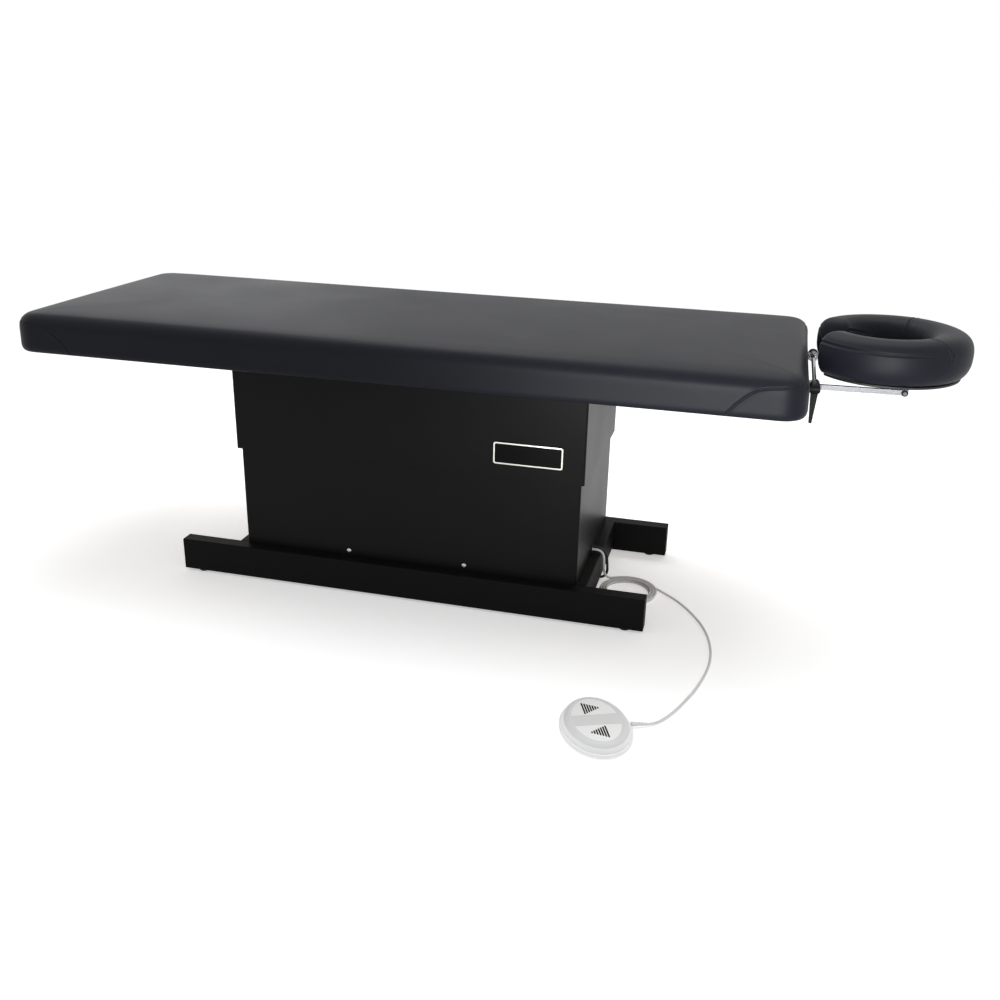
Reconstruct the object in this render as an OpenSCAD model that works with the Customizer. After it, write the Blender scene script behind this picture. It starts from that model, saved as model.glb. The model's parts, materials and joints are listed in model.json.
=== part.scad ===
// Electric lift massage table on a pedestal, with a face rest and a foot switch.
// Millimetres. The origin is on the floor under the middle of the pedestal.
// +X points to the head end, +Z is up, and the near long side is at -Y.

/* [Padded top] */
// Length of the padded top
pad_l = 1854; // [1700:1:2000]
// Width of the padded top
pad_w = 686; // [640:1:760]
// Height of the padded top's crown above the floor, with the lift at rest
pad_z = 670; // [660:1:700]
// Thickness of the padded top, from its underside to its crown
pad_t = 96; // [92:1:116]
// How far the top's middle lies towards the foot end of the pedestal's middle
pad_back = 25; // [0:1:60]
// Radius of the top's corners, seen from above
pad_corner_r = 55; // [45:1:80]
// Radius of the top's upper edge
pad_edge_r = 30; // [20:1:34]
// Radius of the top's lower edge
pad_under_r = 16; // [8:1:20]
// How far the long sides draw in between their corners
pad_draw_in = 3; // [0:0.5:5]
// How far the middle of the top stands above its edges
pad_crown = 4; // [0:0.5:8]
// Thickness of foam and cover over the edge of the deck
pad_wrap_t = 10; // [8:0.5:16]

/* [Deck] */
// Height of the wooden deck frame
deck_rail_h = 50; // [46:1:50]
// Thickness of the wooden deck frame
deck_rail_t = 22; // [15:1:28]
// Thickness of the plywood deck board
deck_board_t = 6; // [4:0.5:6]
// Distance from the ends of the steel tubes under the deck board to the wooden battens
frame_tube_in = 130; // [20:5:300]
// Width of each steel tube under the deck board
frame_tube_w = 30; // [20:1:50]
// Distance between the middles of the two steel tubes
frame_tube_gauge = 300; // [240:1:360]
// Thickness of the mounting plates under the tubes
mount_plate_t = 8; // [5:0.5:10]
// Length of the two plates over the columns
mount_plate_l = 180; // [170:1:220]
// Length of the plate over the actuator
centre_plate_l = 120; // [80:1:160]

/* [Base frame] */
// Width over both floor rails
base_w = 491; // [470:1:560]
// Length of each floor rail
rail_l = 1196; // [1100:1:1400]
// Width of the floor rails and cross tubes
rail_w = 38; // [34:1:44]
// Height of the floor rails and cross tubes
rail_h = 82; // [76:1:86]
// Wall of the floor rails and cross tubes
rail_wall = 2.5; // [1.5:0.1:4]
// Height of the rubber feet
foot_h = 6; // [5:0.5:10]
// Radius of the rubber feet
foot_r = 14; // [10:0.5:16]
// Distance from a rail's end to the middle of its foot
foot_inset = 45; // [25:1:90]
// How far the cross tubes stand out of the pedestal
cross_proud = 25; // [10:1:30]
// Height of the two steel tubes between the floor rails
cross_h = 76; // [70:1:82]
// Thickness of the base plate
base_plate_t = 4; // [3:0.5:5]

/* [Pedestal covers] */
// Length of the lower cover
lower_l = 858; // [840:1:900]
// Width of the lower cover
lower_w = 429; // [424:1:436]
// Height of the lower cover's upper edge above the floor
lower_top_z = 509; // [505:1:512]
// Height of the upper cover's lower edge above the floor, at rest
upper_bottom_z = 345; // [320:1:350]
// Sheet thickness of both covers
cover_wall = 1.5; // [1:0.1:2.5]
// Gap between the lower and the upper cover
cover_gap = 7; // [4:0.5:10]
// Outer radius of the covers' upright edges
cover_r = 6; // [4:0.5:10]
// Distance between the two screws in each long side of the lower cover
screw_spacing = 300; // [200:1:400]
// Height of those screws above the floor
screw_z = 102.5; // [101:0.5:106]

/* [Name plate] */
// Length of the bare name plate
plate_l = 167; // [100:1:200]
// Height of the bare name plate
plate_h = 55.5; // [30:0.5:80]
// Distance from the plate to the upper cover's head end
plate_in = 51; // [20:1:120]
// Height of the middle of the plate above the floor, at rest
plate_z = 405; // [390:1:480]

/* [Lift] */
// How far the top rises from rest
lift_up = 152; // [0:1:152]
// How far the top sinks from rest
lift_down = 51; // [0:1:51]
// Distance between the two lifting columns
column_spacing = 520; // [500:1:560]
// Length of a column tube's section
column_l = 110; // [104:1:124]
// Width of a column tube's section
column_w = 90; // [84:1:100]
// Wall of the column tubes and masts
column_wall = 4; // [3:0.5:5]
// Height of the columns' upper ends above the floor
column_top_z = 480; // [470:1:482]
// How far the masts' shoes stay below the columns' bushes at the top of the lift
mast_reserve = 60; // [40:1:62]
// Radius of the actuator's tube
actuator_r = 25; // [23:0.5:28]
// Radius of the actuator's push rod
push_rod_r = 16; // [12:0.5:18]
// Radius of the actuator's motor
motor_r = 28; // [24:0.5:30]

/* [Face rest] */
// Height of the cross rod's middle above the floor, at rest
rod_z = 606; // [604:1:608]
// Distance from the top's end to the cross rod's middle
rod_out = 13; // [12.6:0.1:16]
// Radius of the cross rod
rod_r = 5; // [4:0.5:6]
// Distance between the middles of the two posts
post_gauge = 272; // [200:1:280]
// Radius of the posts
post_r = 9; // [7:0.5:9]
// Length of the posts inside the deck
post_l = 200; // [150:1:200]
// Distance from the cross rod to the outer axle
arm_l = 183; // [170:0.5:195]
// How much higher the outer axle lies than the cross rod
arm_rise = 3; // [0:0.5:3]
// Thickness of each arm
arm_t = 8; // [5:0.5:10]
// Height of each arm
arm_h = 11; // [8:0.5:12]
// Length of the cam lever from the middle of its pin
lever_l = 77; // [60:1:95]
// Distance from the outer axle back to the middle of the cushion's ring
cushion_back = 33; // [26:1:40]
// Half the length of the cushion's middle line
cushion_ring_x = 131; // [125:1:133]
// Half the width of the cushion's middle line
cushion_ring_y = 136; // [125:1:145]
// Angle from the head end to each tip of the cushion
cushion_tip_angle = 147; // [140:1:150]
// Half the width of the cushion's limbs at the tips
limb_half_w = 43; // [36:0.5:44]
// Half the width of the cushion at its head end
bend_half_w = 50; // [40:0.5:55]
// Thickness of the cushion
cushion_t = 93; // [70:1:110]
// Thickness of the cushion's platform
platform_t = 5; // [4:0.5:6]

/* [Foot switch] */
// Distance from the pedestal's middle to the foot switch, along the table
switch_x = 562; // [500:1:700]
// Distance from the pedestal's middle to the foot switch, across the table
switch_y = -672; // [-900:1:-620]
// Angle of the foot switch's bar
switch_angle = 23; // [22:0.5:24]
// Half the length of the foot switch's base, along its bar
switch_half_u = 73; // [68:0.5:80]
// Half the width of the foot switch's base, across its bar
switch_half_v = 100; // [92:1:110]
// Height of the foot switch
switch_h = 27; // [26:0.5:34]
// Half the length of the two treads, along the bar
tread_half_u = 50; // [44:0.5:52]
// Half the width over both treads, across the bar
tread_half_v = 78; // [70:0.5:80]
// Width of the bar between the treads
bar_w = 32; // [20:0.5:40]
// Angle by which a tread sinks when it is pressed
tread_angle = 2.5; // [1:0.5:2.5]

/* [Cords] */
// Diameter of the foot switch's cord
switch_cord_d = 6; // [5.6:0.1:6.4]
// Turns in the coil of the foot switch's cord, in whole turns
switch_coil_turns = 6; // [4:1:8]
// Diameter of the mains cord
mains_cord_d = 7; // [6.6:0.1:7.4]
// Turns in the coil of the mains cord, in whole turns
mains_coil_turns = 10; // [6:1:12]

/* [Hidden] */
$fn = 48;
// overrun of every cut
cut = 1;
// clearance of a soft piece from its neighbour
soft_gap = 0.3;
// clearance of sheet metal and moulded pieces that lie together
seat_gap = 0.2;
// radial clearance of a pin or shaft in its bore
pin_gap = 0.08;
// radial clearance of a bolt in its hole
bolt_gap = 0.3;

// padded top and deck
top_z = pad_z - pad_t;
pad_x = -pad_back;
deck_l = pad_l - 2 * (pad_wrap_t + soft_gap);
deck_w = pad_w - 2 * (pad_wrap_t + soft_gap);
deck_corner_ease = 3;
deck_corner_r = pad_corner_r - pad_wrap_t - soft_gap + deck_corner_ease;
deck_top_z = top_z + deck_rail_h + deck_board_t;
plate_seat_z = top_z - soft_gap;
frame_tube_z = plate_seat_z + mount_plate_t;
frame_tube_h = top_z + deck_rail_h - frame_tube_z;
frame_tube_wall = 2.5;
frame_tube_r = 3;
pad_corner_steps = 5;
pad_long_steps = 8;
pad_short_steps = 4;
pad_arc_steps = 4;
pad_crown_shares = [0.8, 0.5, 0.15];
pad_lip_share = 0.1;
head_end_x = pad_x + pad_l / 2;

// base frame
base_top_z = foot_h + rail_h;
rail_y = base_w / 2 - rail_w / 2;
rail_r = 3;
rail_cap_t = 3;
cross_x = lower_l / 2 + cross_proud - rail_w / 2;
plate_top_z = base_top_z + base_plate_t;
foot_stud_r = 4;
foot_stud_l = 15;
foot_chamfer = 2;

// pedestal covers
upper_l = lower_l + 2 * (cover_gap + cover_wall);
upper_w = lower_w + 2 * (cover_gap + cover_wall);
upper_top_z = plate_seat_z;
upper_flange_w = 25;
tab_l = 30;
tab_t = 3;
tab_h = 24;
screw_r = 3;
screw_l = 10;
screw_head_r = 6.5;
screw_head_h = 3.5;
name_plate_t = 1.5;
plate_x = upper_l / 2 - plate_in - plate_l / 2;
name_plate_r = 5;
name_plate_rim = 1.6;
name_plate_field_depth = 0.4;

// cable outlet
outlet_y = -6.5;
outlet_z = 98.5;
outlet_w = 28;
outlet_h = 12;
outlet_flange_w = 3;
outlet_flange_t = 2.5;
outlet_x = lower_l / 2 + outlet_flange_t;

// lifting columns
column_x = column_spacing / 2;
column_r = 8;
flange_l = 150;
flange_w = 130;
flange_t = 8;
flange_r = 6;
flange_bolt_x = 62;
flange_bolt_y = 52;
bolt_r = 5;
bolt_head_r = 8.5;
bolt_head_h = 6.5;
nut_h = 8;
nut_sides = 6;
bush_wall = 4.7;
bush_h = 60;
bush_lip = 4;
mast_l = column_l - 2 * column_wall - 2 * (bush_wall + 2 * seat_gap);
mast_w = column_w - 2 * column_wall - 2 * (bush_wall + 2 * seat_gap);
mast_r = 5;
shoe_h = 40;
shoe_lip = 4;
mast_bottom_z = column_top_z - bush_h - shoe_h - lift_up - mast_reserve;

// actuator
bracket_l = 70;
bracket_w = 60;
bracket_t = 6;
ear_t = 8;
ear_r = 12;
lug_w = 23;
lug_gap = 0.5;
act_pin_r = 5;
act_pin_over = 3;
act_pin_h = 28;
foot_pin_z = plate_top_z + act_pin_h;
gearbox_neck = 16;
gearbox_z = foot_pin_z + gearbox_neck;
gearbox_h = 54;
gearbox_back = 32;
gearbox_front = 95;
gearbox_w = 64;
gearbox_r = 10;
motor_x = 62;
motor_l = 110;
motor_cap_r = 22;
motor_cap_l = 8;
tube_wall = 3.5;
tube_top_z = 440;
tube_collar_r = actuator_r + 2;
tube_collar_h = 14;
push_rod_reserve = 9;
push_rod_bottom_z = gearbox_z + gearbox_h + lift_down + push_rod_reserve;
head_pin_drop = 26;
head_pin_z = plate_seat_z - head_pin_drop;

// control box
box_x = -115;
box_l = 124;
box_w = 84;
box_h = 52;
box_r = 6;
box_lid_h = 12;
box_lid_over = 2;

// face rest
rod_x = head_end_x + rod_out;
post_y = post_gauge / 2;
hub_r = 11;
hub_w = 2 * (post_r + seat_gap);
hub_washer_t = 1.6;
hub_washer_r = 9;
washer_room = hub_washer_t + 2 * seat_gap;
arm_y = post_y + hub_w / 2 + washer_room + arm_t / 2;
arm_eye_r = 10;
arm_end_r = 7.5;
arm_out_y = arm_y + arm_t / 2 + washer_room;
cam_r = 12.5;
cam_face_r = 12;
cam_w = 23;
cam_slot = 0.6;
cam_pin_r = 2.5;
cam_pin_y = arm_out_y + cam_r + 2 * pin_gap;
rod_end_over = 4.5;
cam_open_angle = 102;
cam_end_room = norm([rod_end_over, rod_r]) + cam_slot;
lever_root_w = 17;
lever_tip_w = 7;
lever_root_t = 11;
lever_tip_t = 5;
lever_lean = 1;
nut_knob_l = 14;
nut_knob_r = 12;
nut_grip_share = 0.7;
nut_core_share = 0.8;
socket_wall = 2.2;
post_gap = 0.3;
socket_support_x = rod_x - post_l + deck_rail_t;
frame_tube_l = 2 * (socket_support_x - deck_rail_t / 2 - frame_tube_in - pad_x);
axle_r = 4;
axle_x = rod_x + arm_l;
axle_z = rod_z + arm_rise;
axle_cap_r = 6;
axle_cap_l = 5;
axle_tip_l = 3;
platform_z = axle_z + arm_end_r + soft_gap + seat_gap;
platform_share = 0.62;
lug_t = 8;
lug_r = 8;
lug_y = arm_y - arm_t / 2 - lug_t / 2 - 3 * seat_gap;
cushion_x = axle_x - cushion_back;
cushion_z = platform_z + platform_t + soft_gap;
cushion_corner_power = 0.75;
cushion_flat_share = 0.86;
cushion_stations = 30;
cushion_sides = 16;
tip_steps = 4;
tip_round_share = 0.72;
tip_least_share = 0.02;
limb_taper_share = 1.5;

// foot switch
switch_feet_h = 2;
switch_tray_h = 8;
switch_wall = 2.5;
switch_tray_z = switch_feet_h + switch_tray_h;
switch_rim_in = 5;
tread_gap = 0.6;
tread_t = 5.5;
tread_step_share = 0.8;
tread_recess = 1.5;
tread_top_z = switch_h - tread_recess;
tread_z = tread_top_z - tread_t;
tread_hinge_r = 1.2;
tread_hinge_share = 0.6;
switch_dome_shares = [[1, 0], [0.985, 0.3], [0.95, 0.58], [0.89, 0.82], [0.82, 1]];
switch_steps = 48;
switch_foot_r = 7;
switch_foot_share = 0.72;
micro_l = 20;
micro_w = 6.5;
micro_v = 50;
plunger_r = 1.6;
plunger_h = 1.2;
relief_l = 30;
relief_r = 5.2;
relief_drop = 2.4;
switch_exit_z = 9;
switch_exit_v = 2;

// cords: points chosen by hand, and the coils' sizes
switch_coil_at = [532, -37];
switch_coil_r = 73;
switch_coil_layers = 2;
switch_coil_start = 50;
switch_coil_end = 120;
mains_coil_at = [338, -30];
mains_coil_r = 48;
mains_coil_layers = 4;
mains_coil_start = 100;
mains_coil_end = 180;
coil_gap = 0.5;
coil_climb_turns = 0.5;
coil_rings = 24;
coil_sides = 6;
cord_sides = 8;
cord_lie = 0.2;
switch_cord_y = -13;
mains_cord_y = 0;
mains_relief_r = 5.4;
switch_floor_route = [[670, -620, 4.4], [683, -605, 3.2], [697, -581, 3.2], [711, -550, 3.2], [724, -514, 3.2],
  [737, -475, 3.2], [747, -435, 3.2], [755, -395, 3.2], [760, -355, 3.2], [761, -315, 3.2], [758, -275, 3.2],
  [751, -235, 3.2], [740, -195, 3.2], [725, -157, 3.2], [706, -121, 3.2], [684, -86, 3.2], [662, -57, 3.2],
  [641, -35, 3.2], [617, -13, 3.2]];
switch_riser_route = [
  [477, 15.5, 11.5], [470, 9.5, 17], [465.5, 3.5, 27], [463.5, -2, 40], [463, -6.5, 55], [463, -10, 70],
  [462, -12, 82], [457.5, -13, 92], [449, -13, 97.5]];
mains_relief_route = [[440, 0, 98.5], [447, 0, 97.5], [453, 0.5, 94.8]];
mains_route = [
  [459.5, 1.5, 90.2], [464, 3, 84], [467, 4.5, 77], [468, 6, 69], [468.5, 10, 58], [469, 14, 45],
  [469, 18, 32], [467, 19, 21], [461.6, 21.6, 11.9], [453.4, 25.5, 5.8], [443.8, 30, 3.7],
  [428, 36, 3.7], [410, 37, 3.7], [392, 33.5, 3.7], [374, 28.5, 3.7], [356, 23, 3.7]];
mains_tail_route = [[291, -56, 22], [291, -68, 17.5], [291.5, -80, 14.5], [292, -90, 13.2]];
plug_at = [292, -104];
plug_z = 13;
plug_relief_l = 24;
plug_l = 34;
plug_w = 30;
plug_h = 26;
plug_r = 6;
blade_l = 18;
blade_w = 6.4;
blade_t = 1.5;
blade_gauge = 12.7;
ground_r = 2.4;
ground_l = 20;
ground_drop = 8;

// A rectangle with round corners, centred
module round_rect(l, w, r) {
  square([l - 2 * r, w], center = true);
  square([l, w - 2 * r], center = true);
  for (x = [-1, 1], y = [-1, 1])
    translate([x * (l / 2 - r), y * (w / 2 - r)]) circle(r);
}

// An upright block with round corners that stands on z = 0
module round_block(l, w, h, r) {
  linear_extrude(h) round_rect(l, w, r);
}

// An upright rectangular tube that stands on z = 0
module round_tube(l, w, h, r, wall) {
  linear_extrude(h) difference() {
    round_rect(l, w, r);
    round_rect(l - 2 * wall, w - 2 * wall, max(r - wall, wall / 2));
  }
}

// A rectangular tube along X, centred
module tube_along_x(l, w, h, r, wall) {
  translate([-l / 2, 0, 0]) rotate([90, 0, 90]) round_tube(w, h, l, r, wall);
}

// A cylinder along Y, centred
module rod_along_y(r, l) {
  rotate([90, 0, 0]) cylinder(r = r, h = l, center = true);
}

// A cylinder along X, centred
module rod_along_x(r, l) {
  rotate([0, 90, 0]) cylinder(r = r, h = l, center = true);
}

// A hexagon bolt that hangs from its head at z = 0, with a nut at the other end
module bolt(grip) {
  cylinder(r = bolt_head_r, h = bolt_head_h, $fn = nut_sides);
  translate([0, 0, -grip - nut_h]) cylinder(r = bolt_r, h = grip + nut_h + bolt_head_h / 2);
  translate([0, 0, -grip - nut_h]) cylinder(r = bolt_head_r, h = nut_h, $fn = nut_sides);
}

// Places of the bolts round both columns
module at_flange_bolts() {
  for (c = [-1, 1], x = [-1, 1], y = [-1, 1])
    translate([c * column_x + x * flange_bolt_x, y * flange_bolt_y, 0]) children();
}

// Vector helpers
function unit(v) = v / norm(v);
function flat(list) = [for (a = list) for (b = a) b];
function cat_rom(a, b, c, d, t) =
  0.5 * (2 * b + (c - a) * t + (2 * a - 5 * b + 4 * c - d) * t * t + (3 * b - a - 3 * c + d) * t * t * t);
// Puts steps - 1 more points between the points of a route, on one smooth curve
function smooth_route(p, steps) = concat([for (i = [0:len(p) - 2]) for (k = [0:steps - 1])
  cat_rom(p[max(i - 1, 0)], p[i], p[i + 1], p[min(i + 2, len(p) - 1)], k / steps)], [p[len(p) - 1]]);
function total(list) = [for (a = list) 1] * list;
function route_length(p) = total([for (i = [1:len(p) - 1]) norm(p[i] - p[i - 1])]);
function directions(p) = [for (i = [0:len(p) - 1])
  i == 0 ? unit(p[1] - p[0]) :
  i == len(p) - 1 ? unit(p[i] - p[i - 1]) : unit(unit(p[i + 1] - p[i]) + unit(p[i] - p[i - 1]))];
function side_of(t) = unit(cross(t, abs(t[2]) < 0.9 ? [0, 0, 1] : [0, 1, 0]));
function sides_of(t) = [for (i = 0, n = side_of(t[0]); i < len(t);
  i = i + 1, n = i < len(t) ? unit(n - (n * t[i]) * t[i]) : n) n];

// Faces of a closed skin over rings of n points, with a middle point at each end
function skin_faces(rings, n) = concat(
  [for (k = [0:n - 1]) [rings * n, k, (k + 1) % n]],
  [for (i = [0:rings - 2], k = [0:n - 1], f = [0, 1]) f == 0 ?
    [i * n + k, (i + 1) * n + (k + 1) % n, i * n + (k + 1) % n] :
    [i * n + k, (i + 1) * n + k, (i + 1) * n + (k + 1) % n]],
  [for (k = [0:n - 1]) [rings * n + 1, (rings - 1) * n + (k + 1) % n, (rings - 1) * n + k]]);
function middle(ring) = [for (p = ring) 1] * ring / len(ring);
module skin(rings) {
  n = len(rings[0]);
  polyhedron(points = concat(flat(rings), [middle(rings[0]), middle(rings[len(rings) - 1])]),
    faces = skin_faces(len(rings), n));
}

// A round cord along a route, r thick at its start and r_end at its end
module cord(route, r, r_end, sides) {
  t = directions(route);
  s = sides_of(t);
  last = len(route) - 1;
  skin([for (i = [0:last]) [for (k = [0:sides - 1]) let (a = 360 * (k + 0.5) / sides, b = cross(t[i], s[i]))
    route[i] + (r + (r_end - r) * i / last) * (cos(a) * s[i] + sin(a) * b)]]);
}

// Coils: piled loops that spiral in and out again and climb a layer where they turn round
function coil_radius(r, pitch, turn, per_layer) =
  let (k = floor(turn / per_layer), f = turn - k * per_layer)
  k % 2 == 0 ? r - pitch * f : r - pitch * (per_layer - f);
function climbed(turn, turns, layers) = total([for (b = [1:layers - 1])
  min(1, max(0, (turn - b * turns / layers) / coil_climb_turns + 0.5))]);
function coil_turns(whole, start, end) = whole + (end - start) / 360;
function coil_point(at, r, start, turns, layers, pitch, z, turn) =
  let (a = start + 360 * turn, q = coil_radius(r, pitch, turn, turns / layers))
  [at[0] + q * cos(a), at[1] + q * sin(a), z + pitch * climbed(turn, turns, layers)];
function coil_body(at, r, start, turns, layers, pitch, z) = let (n = round(turns * coil_rings))
  [for (i = [0:n]) coil_point(at, r, start, turns, layers, pitch, z, turns * i / n)];
// the loops with a straight lead of one diameter at each end
function coil_route(p, d) = let (n = len(p) - 1)
  concat([p[0] - d * unit(p[1] - p[0])], p, [p[n] + d * unit(p[n] - p[n - 1])]);
function least_gap(p, d, rings) = min([for (i = [0:len(p) - 1 - rings]) for (j = [i + rings:len(p) - 1])
  norm(p[i] - p[j])]) - d;

switch_turns = coil_turns(switch_coil_turns, switch_coil_start, switch_coil_end);
mains_turns = coil_turns(mains_coil_turns, mains_coil_start, mains_coil_end);
switch_coil = coil_route(coil_body(switch_coil_at, switch_coil_r, switch_coil_start, switch_turns,
  switch_coil_layers, switch_cord_d + coil_gap, switch_cord_d / 2 + cord_lie), switch_cord_d);
mains_coil = coil_route(coil_body(mains_coil_at, mains_coil_r, mains_coil_start, mains_turns,
  mains_coil_layers, mains_cord_d + coil_gap, mains_cord_d / 2 + cord_lie), mains_cord_d);
// a route that ends square to a coil's lead
function run_up(coil, d) = [coil[0] - d * unit(coil[1] - coil[0]), coil[0]];
function run_off(coil, d) = let (n = len(coil) - 1) [coil[n], coil[n] + d * unit(coil[n] - coil[n - 1])];

// outlets of the cords, and the foot switch's own directions
switch_outlet = [outlet_x, switch_cord_y, outlet_z];
mains_outlet = [outlet_x, mains_cord_y, outlet_z];
along_bar = [cos(switch_angle), sin(switch_angle), 0];
across_bar = [-sin(switch_angle), cos(switch_angle), 0];
relief_start = [switch_x, switch_y, switch_exit_z] + (switch_half_u + seat_gap) * along_bar
  + switch_exit_v * across_bar;
relief_route = [relief_start, relief_start + relief_l / 2 * along_bar + [0, 0, -relief_drop / 3],
  relief_start + relief_l * along_bar + [0, 0, -relief_drop]];
relief_end = relief_route[2];
relief_dir = unit(relief_route[2] - relief_route[1]);
switch_route = concat([relief_end, relief_end + switch_cord_d * relief_dir],
  smooth_route(switch_floor_route, 2), run_up(switch_coil, switch_cord_d));
riser_route = concat(run_off(switch_coil, switch_cord_d), switch_riser_route,
  [switch_outlet + [switch_cord_d, 0, 0], switch_outlet]);
mains_relief = concat([mains_outlet], mains_relief_route);
mains_start = mains_relief_route[len(mains_relief_route) - 1];
mains_relief_dir = unit(mains_start - mains_relief_route[len(mains_relief_route) - 2]);
mains_free_route = concat([mains_start + seat_gap * mains_relief_dir, mains_start + 2 * seat_gap * mains_relief_dir],
  mains_route, run_up(mains_coil, mains_cord_d));
tail_route = concat(run_off(mains_coil, mains_cord_d), mains_tail_route,
  [[plug_at[0], plug_at[1] + mains_cord_d, plug_z], [plug_at[0], plug_at[1], plug_z]]);

echo(switch_cord_length = route_length(relief_route) + route_length(switch_route)
  + route_length(switch_coil) + route_length(riser_route));
echo(mains_cord_length = route_length(mains_relief) + route_length(mains_free_route)
  + route_length(mains_coil) + route_length(tail_route) + plug_relief_l);
echo(switch_coil_gap = least_gap(switch_coil, switch_cord_d, coil_rings / 2));
echo(mains_coil_gap = least_gap(mains_coil, mains_cord_d, coil_rings / 2));

// Base frame
module floor_rail(side) {
  color([0.09, 0.09, 0.1]) translate([0, side * rail_y, foot_h + rail_h / 2]) difference() {
    tube_along_x(rail_l - 2 * rail_cap_t, rail_w, rail_h, rail_r, rail_wall);
    for (x = [-1, 1])
      translate([x * (rail_l / 2 - foot_inset), 0, -rail_h / 2 - cut])
        cylinder(r = foot_stud_r + bolt_gap, h = rail_wall + 2 * cut);
  }
}
module near_rail() {
  floor_rail(-1);
}
module far_rail() {
  floor_rail(1);
}
module cross_tubes() {
  color([0.09, 0.09, 0.1]) for (x = [-1, 1])
    translate([x * cross_x, 0, base_top_z - cross_h / 2]) rotate([0, 0, 90])
      tube_along_x(base_w - 2 * rail_w, rail_w, cross_h, rail_r, rail_wall);
}
module rail_end_caps() {
  color([0.07, 0.07, 0.08]) for (x = [-1, 1], y = [-1, 1])
    translate([x * (rail_l / 2 - rail_cap_t / 2) - rail_cap_t / 2, y * rail_y, foot_h + rail_h / 2])
      rotate([90, 0, 90]) round_block(rail_w, rail_h, rail_cap_t, rail_r);
}
module rail_feet() {
  color([0.05, 0.05, 0.05]) for (x = [-1, 1], y = [-1, 1])
    translate([x * (rail_l / 2 - foot_inset), y * rail_y, 0]) rotate_extrude()
      polygon([[0, 0], [foot_r - foot_chamfer, 0], [foot_r, foot_chamfer], [foot_r, foot_h - foot_chamfer],
        [foot_r - foot_chamfer, foot_h], [foot_stud_r, foot_h], [foot_stud_r, foot_h + foot_stud_l],
        [0, foot_h + foot_stud_l]]);
}
module base_plate() {
  inside = cover_wall + seat_gap;
  color([0.2, 0.2, 0.21]) difference() {
    union() {
      translate([0, 0, base_top_z])
        round_block(lower_l - 2 * inside, lower_w - 2 * inside, base_plate_t, cover_r);
      for (x = [-1, 1], y = [-1, 1])
        translate([x * screw_spacing / 2 - tab_l / 2, y * (lower_w / 2 - inside - tab_t / 2) - tab_t / 2,
          plate_top_z - cut / 2]) cube([tab_l, tab_t, tab_h]);
    }
    at_flange_bolts() translate([0, 0, base_top_z - cut])
      cylinder(r = bolt_r + bolt_gap, h = base_plate_t + 2 * cut);
    for (x = [-1, 1])
      translate([x * screw_spacing / 2, 0, screw_z]) rod_along_y(screw_r + bolt_gap, lower_w);
  }
}

// Pedestal covers
module lower_cover() {
  color([0.1, 0.1, 0.11]) difference() {
    translate([0, 0, base_top_z])
      round_tube(lower_l, lower_w, lower_top_z - base_top_z, cover_r, cover_wall);
    for (x = [-1, 1])
      translate([x * screw_spacing / 2, 0, screw_z]) rod_along_y(screw_r + bolt_gap, lower_w + 2 * cut);
    translate([lower_l / 2 - cover_wall - cut, outlet_y, outlet_z]) rotate([90, 0, 90])
      round_block(outlet_w, outlet_h, cover_wall + 2 * cut, outlet_h / 2);
  }
}
module cover_screws() {
  color([0.75, 0.76, 0.78]) for (x = [-1, 1], y = [-1, 1])
    translate([x * screw_spacing / 2, y * lower_w / 2, screw_z]) rotate([-90 * y, 0, 0]) {
      cylinder(r = screw_head_r, h = screw_head_h / 2);
      translate([0, 0, screw_head_h / 2])
        cylinder(r1 = screw_head_r, r2 = screw_head_r / 2, h = screw_head_h / 2);
      translate([0, 0, -screw_l]) cylinder(r = screw_r, h = screw_l + cut);
    }
}
module cable_grommet() {
  color([0.04, 0.04, 0.04]) translate([lower_l / 2, outlet_y, outlet_z]) rotate([90, 0, 90]) {
    translate([0, 0, -cover_wall - outlet_flange_t])
      round_block(outlet_w - 2 * seat_gap, outlet_h - 2 * seat_gap,
        cover_wall + 2 * outlet_flange_t, outlet_h / 2 - seat_gap);
    round_block(outlet_w + 2 * outlet_flange_w, outlet_h + outlet_flange_w, outlet_flange_t,
      (outlet_h + outlet_flange_w) / 2);
  }
}
module upper_cover() {
  color([0.1, 0.1, 0.11]) {
    translate([0, 0, upper_bottom_z])
      round_tube(upper_l, upper_w, upper_top_z - upper_bottom_z, cover_r, cover_wall);
    translate([0, 0, upper_top_z - cover_wall])
      round_tube(upper_l - cover_wall, upper_w - cover_wall, cover_wall, cover_r, upper_flange_w);
  }
}
module name_plate() {
  color([0.06, 0.06, 0.06]) translate([plate_x, -upper_w / 2, plate_z]) rotate([90, 0, 0]) difference() {
    round_block(plate_l, plate_h, name_plate_t, name_plate_r);
    translate([0, 0, name_plate_t - name_plate_field_depth])
      round_block(plate_l - 2 * name_plate_rim, plate_h - 2 * name_plate_rim, name_plate_t,
        name_plate_r - name_plate_rim);
  }
}

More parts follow.
